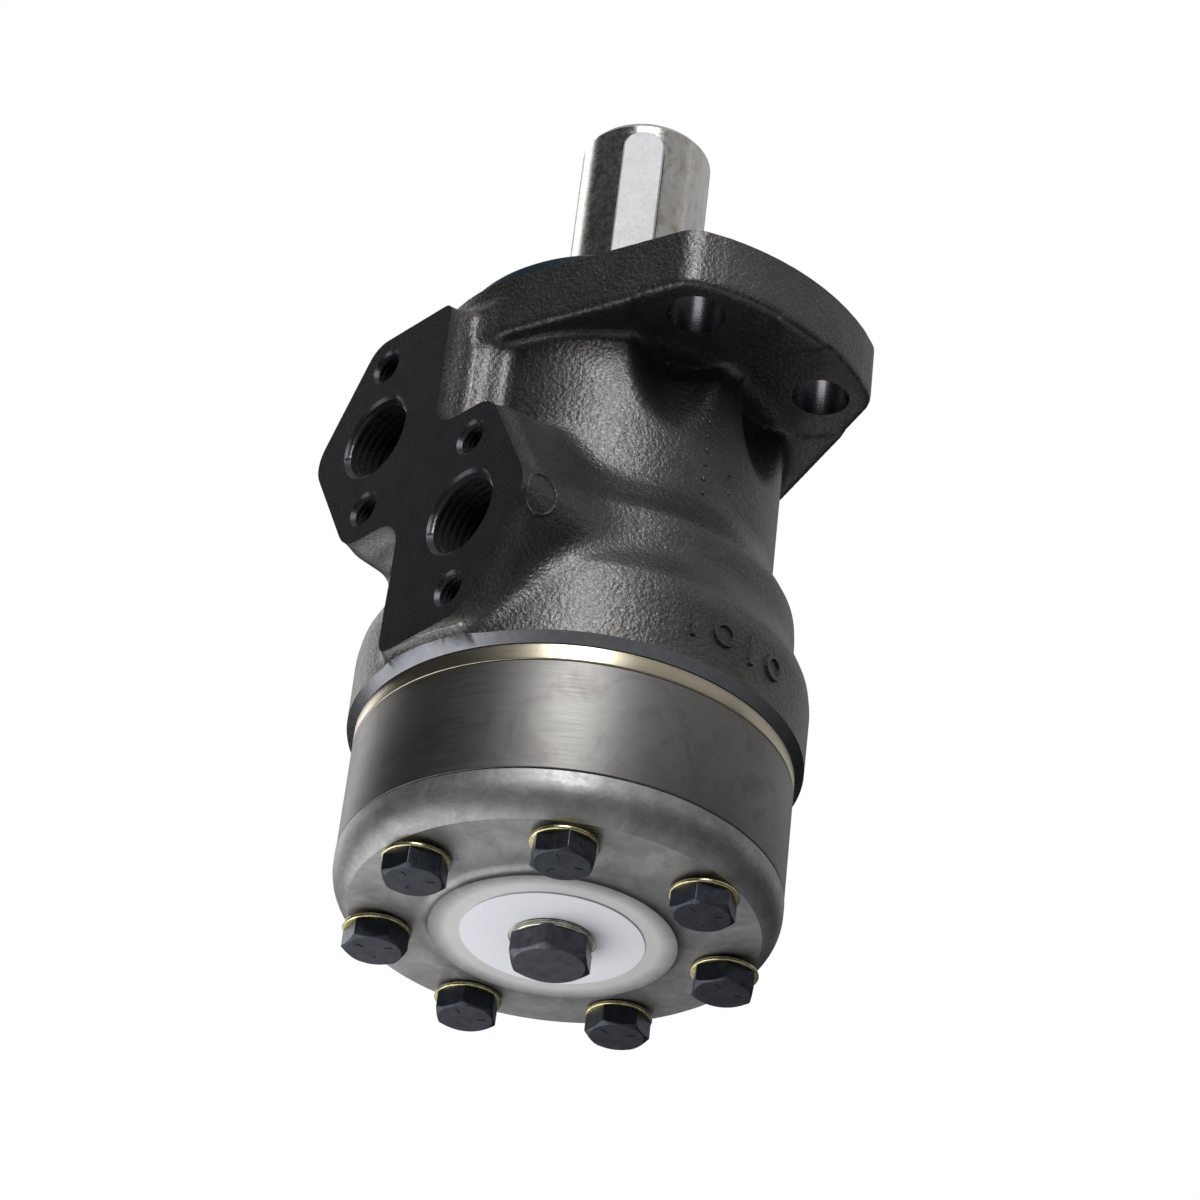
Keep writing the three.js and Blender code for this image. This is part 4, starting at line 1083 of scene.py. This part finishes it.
def dust_seal():
    bottom, top = span("dust_seal")
    outer = high("dust_seal")[0]
    lip, wall, web = SHAFT_HOLE_RADIUS, outer - 1.2, top - 1.1
    profile = rounded([(lip, bottom, 0), (lip + 1.6, web, 0.2), (wall, web, 0.2), (wall, bottom, 0),
                       (outer, bottom, 0), (outer, top, 0.4), (lip + 1.4, top - 0.4, 0.4),
                       (lip + 0.5, top, 0.2)], steps=3)
    piece = make_piece("dust_seal_body", lathe(profile, 128))
    finish_piece(piece, "root", RUBBER, "dust_seal")


def key_placed(clearance):
    """The key, or its slot when it has clearance, with round ends along the shaft."""
    half = KEY_WIDTH / 2 + clearance
    bottom, top = low("shaft_key")[2] - clearance, high("shaft_key")[2] + clearance
    outline = []
    for centre, start in ((top - half, 0), (bottom + half, 180)):
        for degrees in range(start, start + 181, 10):
            x, y = polar(half, degrees)
            outline.append((x, centre + y))
    crest = SHAFT_RADIUS + KEY_PROUD
    floor = crest - KEY_HEIGHT - clearance
    if clearance:
        shape = prism(outline, floor, crest + CUT_MARGIN)
    else:
        shape = chamfered_prism(outline, floor, crest, KEY_CHAMFER)
    return moved(shape, turn=turned(angle_of("shaft_key")) @ turned(90) @ turned(90, "X"))


def chamfered_prism(outline, bottom, top, chamfer):
    """A prism over a convex outline with a small chamfer round both ends."""
    points = np.array(outline)
    centre = (points.max(0) + points.min(0)) / 2
    extent = (points.max(0) - points.min(0)) / 2
    inner = centre + (points - centre) * (1 - chamfer / extent)
    count = len(points)
    rows = [(inner, bottom), (points, bottom + chamfer), (points, top - chamfer), (inner, top)]
    vertices = [(x, y, height) for row, height in rows for x, y in row]
    faces = [list(range(count))[::-1], list(range(3 * count, 4 * count))]
    for row in range(3):
        for i in range(count):
            j = (i + 1) % count
            faces.append([row * count + i, row * count + j, (row + 1) * count + j, (row + 1) * count + i])
    return vertices, faces


def output_shaft():
    collar_low, collar_high = COLLAR_HEIGHTS
    profile = rounded([
        (0, SHAFT_REAR, 0), (SPOOL_RADIUS, SHAFT_REAR, 0.8), (SPOOL_RADIUS, collar_low, 0),
        (COLLAR_RADIUS, collar_low, 0.3), (COLLAR_RADIUS, collar_high, 0.3),
        (SHAFT_RADIUS + 1, collar_high, 0),
        (SHAFT_RADIUS, collar_high + 2, 1), (SHAFT_RADIUS, SHAFT_END - 1.7, 1.2),
        (SHAFT_RADIUS - 1.4, SHAFT_END, 0.5), (0, SHAFT_END, 0),
    ], closed=False)
    piece = make_piece("output_shaft_body", lathe(profile, 160))
    hole_floor = SHAFT_END - CENTRE_HOLE_DEPTH
    centre_hole = [(0, hole_floor), (CENTRE_HOLE_RADIUS, hole_floor), (CENTRE_HOLE_RADIUS, SHAFT_END - 2.5),
                   (5.6, SHAFT_END), (5.9, SHAFT_END + 0.5), (0, SHAFT_END + 0.5)]
    mouth_radius = SPOOL_HOLLOW[0][0]
    hollow = [(0, SHAFT_REAR - 2), (mouth_radius, SHAFT_REAR - 2), *SPOOL_HOLLOW]
    slots = []
    for index in range(SPOOL_SLOT_COUNT):
        slot = block(SPOOL_SLOT_LOWEST, (SPOOL_RADIUS + 2, 2, PORTS[index % 2][1]))
        slots.append(moved(slot, turn=turned(360 / SPOOL_SLOT_COUNT * index)))
    combine(piece, together(lathe(centre_hole, 48), lathe(hollow, 64), *slots))
    combine(piece, key_placed(KEY_SLOT_GAP))
    finish_piece(piece, "shaft", SHAFT_STEEL, "output_shaft")


def shaft_key():
    piece = make_piece("shaft_key_body", key_placed(0))
    finish_piece(piece, "shaft", KEY_STEEL, "shaft_key")


# --- Gear set and end cover ---------------------------------------------------------------------

STATOR_BORE_RADIUS = 30.8
ROLLER_POCKET_RADIUS = 7.6
PLATE_BORE_RADIUS = 14
EDGE_BREAK = 0.3
COVER_ROUNDING = 9
COVER_FACE_EDGE = 45.9
BOSS_HEIGHT = 1.8
BOSS_RADIUS = 27.3
BOSS_FOOT_RADIUS = 30.4
BOSS_FILLET_WIDTH = 2.6
COVER_RADIUS = GEAR_RADIUS + 0.1
COVER_HOLE_REACH = 6
BOLT_SEAT_RADIUS = 8.2
BOLT_SEAT_DEPTH = 0.08
PLUG_HOLE_RADIUS = 6.8


def rods(radius, bottom, top, places, segments):
    return [rod(radius, bottom, top, place, segments) for place in places]


def ring_profile(inner, outer, bottom, top, edge=EDGE_BREAK):
    return rounded([(inner, bottom, 0), (outer, bottom, edge), (outer, top, edge), (inner, top, 0)], steps=4)


def distributor_plate():
    bottom, top = span("distributor_plate")
    profile = ring_profile(PLATE_BORE_RADIUS, GEAR_RADIUS, bottom, top)
    piece = make_piece("distributor_plate_body", lathe(profile, 192))
    holes = rods(BOLT_HOLE_RADIUS, bottom - 1, top + 1, BOLT_PLACES, 32)
    holes += ring_rods(TIMING_RADIUS, bottom - 1, top + 1, TIMING_CIRCLE, BOLT_ANGLES, 24)
    combine(piece, together(*holes))
    finish_piece(piece, "root", GOLD, "distributor_plate")


def stator_ring():
    bottom, top = span("stator_ring")
    profile = ring_profile(STATOR_BORE_RADIUS, GEAR_RADIUS, bottom, top)
    piece = make_piece("stator_ring_body", lathe(profile, 192))
    combine(piece, together(*rods(BOLT_HOLE_RADIUS, bottom - 1, top + 1, BOLT_PLACES, 32)))
    roller_places = [middle(node)[:2] for node in numbered("roller", 7)]
    combine(piece, together(*rods(ROLLER_POCKET_RADIUS, bottom - 1, top + 1, roller_places, 48)))
    combine(piece, ring_groove(top - RING_GROOVE_DEPTH, top + 1))
    finish_piece(piece, "root", STATOR_STEEL, "stator_ring")


def end_cover():
    """The cover, with its rounded edge, raised boss and a faint ring where each washer sits."""
    face = BOSS_FACE + BOSS_HEIGHT
    centre = COVER_RADIUS - COVER_ROUNDING
    steepest = math.degrees(math.acos((COVER_FACE_EDGE - centre) / COVER_ROUNDING))
    profile = [(0, COVER_FRONT), (COVER_RADIUS - EDGE_BREAK, COVER_FRONT),
               (COVER_RADIUS, COVER_FRONT - EDGE_BREAK)]
    for angle in np.linspace(0, steepest, 14):
        across, down = polar(COVER_ROUNDING, angle)
        profile.append((centre + across, face + COVER_ROUNDING - down))
    profile.append((BOSS_FOOT_RADIUS + 0.8, face))
    for angle in range(10, 91, 10):
        rise, inwards = polar(1, angle)
        radius = BOSS_FOOT_RADIUS - 0.2 - BOSS_FILLET_WIDTH * inwards
        profile.append((radius, face - BOSS_HEIGHT * (1 - rise)))
    profile += [(BOSS_RADIUS - 0.4, BOSS_FACE), (0, BOSS_FACE)]
    piece = make_piece("end_cover_body", lathe(profile, 192))
    hole_end, top = face - COVER_HOLE_REACH, COVER_FRONT + 1
    holes = rods(BOLT_HOLE_RADIUS, hole_end, top, BOLT_PLACES, 32)
    plug_hole = rod(PLUG_HOLE_RADIUS, hole_end, top, segments=48)
    combine(piece, together(plug_hole, ring_groove(COVER_FRONT - RING_GROOVE_DEPTH, top), *holes))
    combine(piece, together(*rods(BOLT_SEAT_RADIUS, hole_end, face + BOLT_SEAT_DEPTH, BOLT_PLACES, 64)))
    finish_piece(piece, "root", COVER_STEEL, "end_cover")


HEAD_CORNER_ROUNDING = 0.35
HEAD_CONE_ANGLE = 28
HEAD_EDGE_BREAK = 0.12
HEAD_EDGE_RISE = 0.05
HEAD_POINT_SPACING = 0.5


def hex_head(across_flats, bottom, top, face_share):
    """A hexagon head whose corners are turned off by a cone. The head's face is at bottom."""
    corner = across_flats / math.sqrt(3)
    outline = rounded([(*polar(corner, 60 * side), HEAD_CORNER_ROUNDING) for side in range(6)], steps=5)
    dense = []
    for (ax, ay), (bx, by) in zip(outline, outline[1:] + outline[:1]):
        pieces = max(1, int(math.hypot(bx - ax, by - ay) / HEAD_POINT_SPACING))
        dense += [(ax + (bx - ax) * i / pieces, ay + (by - ay) * i / pieces) for i in range(pieces)]
    dense = np.array(dense)
    rims = np.hypot(*dense.T)
    flat = face_share * across_flats / 2
    drop = np.maximum(rims - flat, 0) * math.tan(math.radians(HEAD_CONE_ANGLE))

    def row(reach, heights):
        return np.column_stack([dense * (reach / rims)[:, None], np.broadcast_to(heights, rims.shape)])

    rows = [row(rims, top), row(rims, bottom + drop + HEAD_EDGE_BREAK),
            row(rims - HEAD_EDGE_BREAK, bottom + np.maximum(0, drop - HEAD_EDGE_RISE)),
            row(np.full_like(rims, flat), bottom), row(np.full_like(rims, flat * 0.93), bottom)]
    count = len(dense)
    last = (len(rows) - 1) * count
    faces = []
    for start in range(0, last, count):
        for i in range(count):
            j = (i + 1) % count
            faces.append([start + j, start + i, start + count + i, start + count + j])
    faces.append(list(range(count)))
    faces.append(list(range(last, last + count))[::-1])
    return np.concatenate(rows), faces


def shank(radius, seat, tip, end_rounding, segments, centre=(0, 0)):
    """A bolt's shank, which starts a little inside its head."""
    profile = [(0, seat - 1, 0), (radius, seat - 1, 0), (radius, tip, end_rounding), (0, tip, 0)]
    return lathe(rounded(profile, closed=False, steps=3), segments, centre)


BOLT_TURNS = (4, 22, -8, 14, -16, 9, 27)
BOLT_ACROSS_FLATS = 13
BOLT_SHANK_RADIUS = 4
BOLT_MARK = [(2.6, -0.3, 0.25), (4.6, -0.3, 0.25), (4.6, 0.3, 0.25), (2.6, 0.3, 0.25)]
BOLT_MARK_ANGLES = (35, 155, 275)
BOLT_MARK_HEIGHT = 0.12
BOLT_MARK_ROOT = 0.28
PLUG_ACROSS_FLATS = 17
PLUG_SHANK_RADIUS = 6.5
PLUG_TURN = 12
HEAD_SINK = 0.05


def cover_bolt(node, turn):
    """A hexagon bolt with three raised dashes on its head."""
    x, y = middle(node)[:2]
    bottom, tip = span(node)
    seat = low(node.replace("cover_bolt", "bolt_washer"))[2] - HEAD_SINK
    head = hex_head(BOLT_ACROSS_FLATS, bottom, seat, 0.95)
    piece = make_piece(f"{node}_body", moved(head, (x, y, 0), turned(turn)))
    combine(piece, shank(BOLT_SHANK_RADIUS, seat, tip, 0.8, 40, (x, y)), "UNION")
    dash = prism(rounded(BOLT_MARK, steps=2), bottom - BOLT_MARK_HEIGHT, bottom + BOLT_MARK_ROOT)
    dashes = [moved(dash, (x, y, 0), turned(angle + turn)) for angle in BOLT_MARK_ANGLES]
    combine(piece, together(*dashes), "UNION")
    finish_piece(piece, "root", BLACK_OXIDE, node)


def flat_ring(node, inner, edge, segments, material):
    """A washer or disc as large as its CAD node."""
    outer = (high(node)[0] - low(node)[0]) / 2
    profile = ring_profile(inner, outer, *span(node), edge)
    piece = make_piece(f"{node}_body", lathe(profile, segments, middle(node)[:2]))
    finish_piece(piece, "root", material, node)


def drain_plug():
    bottom, tip = span("drain_plug")
    seat = low("drain_plug_washer")[2] - HEAD_SINK
    head = hex_head(PLUG_ACROSS_FLATS, bottom, seat, 0.93)
    piece = make_piece("drain_plug_body", moved(head, turn=turned(PLUG_TURN)))
    combine(piece, shank(PLUG_SHANK_RADIUS, seat, tip, 1.0, 48), "UNION")
    finish_piece(piece, "root", PLUG_BLACK, "drain_plug")


INNER_FINISHES = {
    "rubber": RUBBER,
    "bearing_steel": BEARING_STEEL,
    "gear_steel": GEAR_STEEL,
    "spring_steel": SPRING_STEEL,
}


def finish_inner_nodes():
    """Materials for the CAD nodes that stay: the pieces inside the motor."""
    for entry in frame["record"]["subparts"]:
        node = frame["nodes"][entry["node"]]
        if node.hide_render:
            continue
        material = INNER_FINISHES.get(entry.get("material_slot"), BEARING_STEEL)
        if not node.data.materials:
            node.data.materials.append(material)
        for slot in range(len(node.data.materials)):
            node.data.materials[slot] = material


# --- Studio -------------------------------------------------------------------------------------

CAMERA_AZIMUTH = -39.25
CAMERA_ELEVATION = -33.28
CAMERA_DISTANCE = 0.91275
CAMERA_ROLL = 6.92
CAMERA_LENS = 116.65
CAMERA_SENSOR = 36
CAMERA_TARGET_OFFSET = Vector((-0.0055, 0.0073, -0.0124))
FLOOR_HEIGHT = -1.6
FLOOR_HALF_SIZE = 12
WORLD_LIGHT = 0.025

# Name, azimuth, elevation, distance, width, height and radiance.
LIGHTS = [
    ("key", -43, 31, 1.6, 0.62, 1.2, 9.0),
    ("right_near", 18, 33, 2.0, 1.5, 1.2, 0.42),
    ("right_far", 84, 33, 2.0, 2.4, 1.5, 0.5),
    ("back_left", -178, 30, 2.0, 0.9, 1.6, 2.2),
    ("low_left", -146, -50, 1.0, 1.1, 1.2, 1.9),
    ("top", 0, 89, 2.5, 3.5, 3.5, 0.5),
    ("far_low", 166, -30, 1.2, 0.9, 0.8, 0.8),
]


def direction(azimuth, elevation):
    flat = math.cos(math.radians(elevation))
    return Vector((*(flat * part for part in polar(1, azimuth)), math.sin(math.radians(elevation))))


def look_from(thing, target, azimuth, elevation, distance, roll=0.0):
    """Puts a camera or light at a distance from target, looking at it."""
    back = direction(azimuth, elevation)
    right = (-back).cross(Vector((0, 0, 1))).normalized()
    up = right.cross(-back)
    turn = math.radians(roll)
    right, up = (right * math.cos(turn) + up * math.sin(turn),
                 up * math.cos(turn) - right * math.sin(turn))
    matrix = Matrix((right, up, back)).transposed().to_4x4()
    matrix.translation = target + back * distance
    thing.matrix_world = matrix


def add_camera(centre):
    data = bpy.data.cameras.new("camera")
    data.lens = CAMERA_LENS
    data.sensor_width = CAMERA_SENSOR
    data.clip_start, data.clip_end = 0.05, 50
    camera = bpy.data.objects.new("camera", data)
    bpy.context.scene.collection.objects.link(camera)
    look_from(camera, centre + CAMERA_TARGET_OFFSET, CAMERA_AZIMUTH, CAMERA_ELEVATION, CAMERA_DISTANCE,
              CAMERA_ROLL)
    bpy.context.scene.camera = camera


def add_light(centre, name, azimuth, elevation, distance, width, height, radiance):
    data = bpy.data.lights.new(name, "AREA")
    data.shape = "RECTANGLE"
    data.size, data.size_y = width, height
    data.energy = radiance * math.pi * width * height
    light = bpy.data.objects.new(name, data)
    bpy.context.scene.collection.objects.link(light)
    look_from(light, centre, azimuth, elevation, distance)
    light.visible_camera = False


def add_floor():
    half = FLOOR_HALF_SIZE / MM
    piece = make_piece("floor", ([(-half, -half, 0), (half, -half, 0), (half, half, 0), (-half, half, 0)],
                                 [(0, 1, 2, 3)]))
    piece.location.z = FLOOR_HEIGHT
    piece.data.materials.append(coated("pale_floor", (0.86,) * 3, (0.90,) * 3, 0.8, 0.0, 400, 0.1))


def add_world():
    """A dim world that the camera itself sees as white."""
    world = bpy.data.worlds.new("studio")
    bpy.context.scene.world = world
    world.use_nodes = True
    nodes, links = world.node_tree.nodes, world.node_tree.links
    background = nodes["Background"]
    background.inputs["Color"].default_value = (1, 1, 1, 1)
    path = nodes.new("ShaderNodeLightPath")
    strength = nodes.new("ShaderNodeMapRange")
    strength.inputs["To Min"].default_value = WORLD_LIGHT
    strength.inputs["To Max"].default_value = 1.0
    links.new(path.outputs["Is Camera Ray"], strength.inputs["Value"])
    links.new(strength.outputs["Result"], background.inputs["Strength"])


def add_studio():
    lowest, highest = cad_box
    centre = (lowest + highest) / 2
    add_camera(centre)
    for light in LIGHTS:
        add_light(centre, *light)
    add_floor()
    add_world()
    bpy.context.scene.view_settings.view_transform = "Standard"


add_studio()
housing()
front_cover()
for screw_node in SCREW_NODES:
    cover_screw(screw_node)
dust_seal()
output_shaft()
shaft_key()
distributor_plate()
stator_ring()
end_cover()
for bolt_node, bolt_turn in zip(BOLT_NODES, BOLT_TURNS):
    cover_bolt(bolt_node, bolt_turn)
for washer_node in WASHER_NODES:
    flat_ring(washer_node, 4.5, 0.42, 96, ZINC)
flat_ring("label_disc", 9.8, 0.1, 160, LABEL)
flat_ring("drain_plug_washer", PLUG_HOLE_RADIUS, 0.5, 96, PLUG_ZINC)
drain_plug()
finish_inner_nodes()
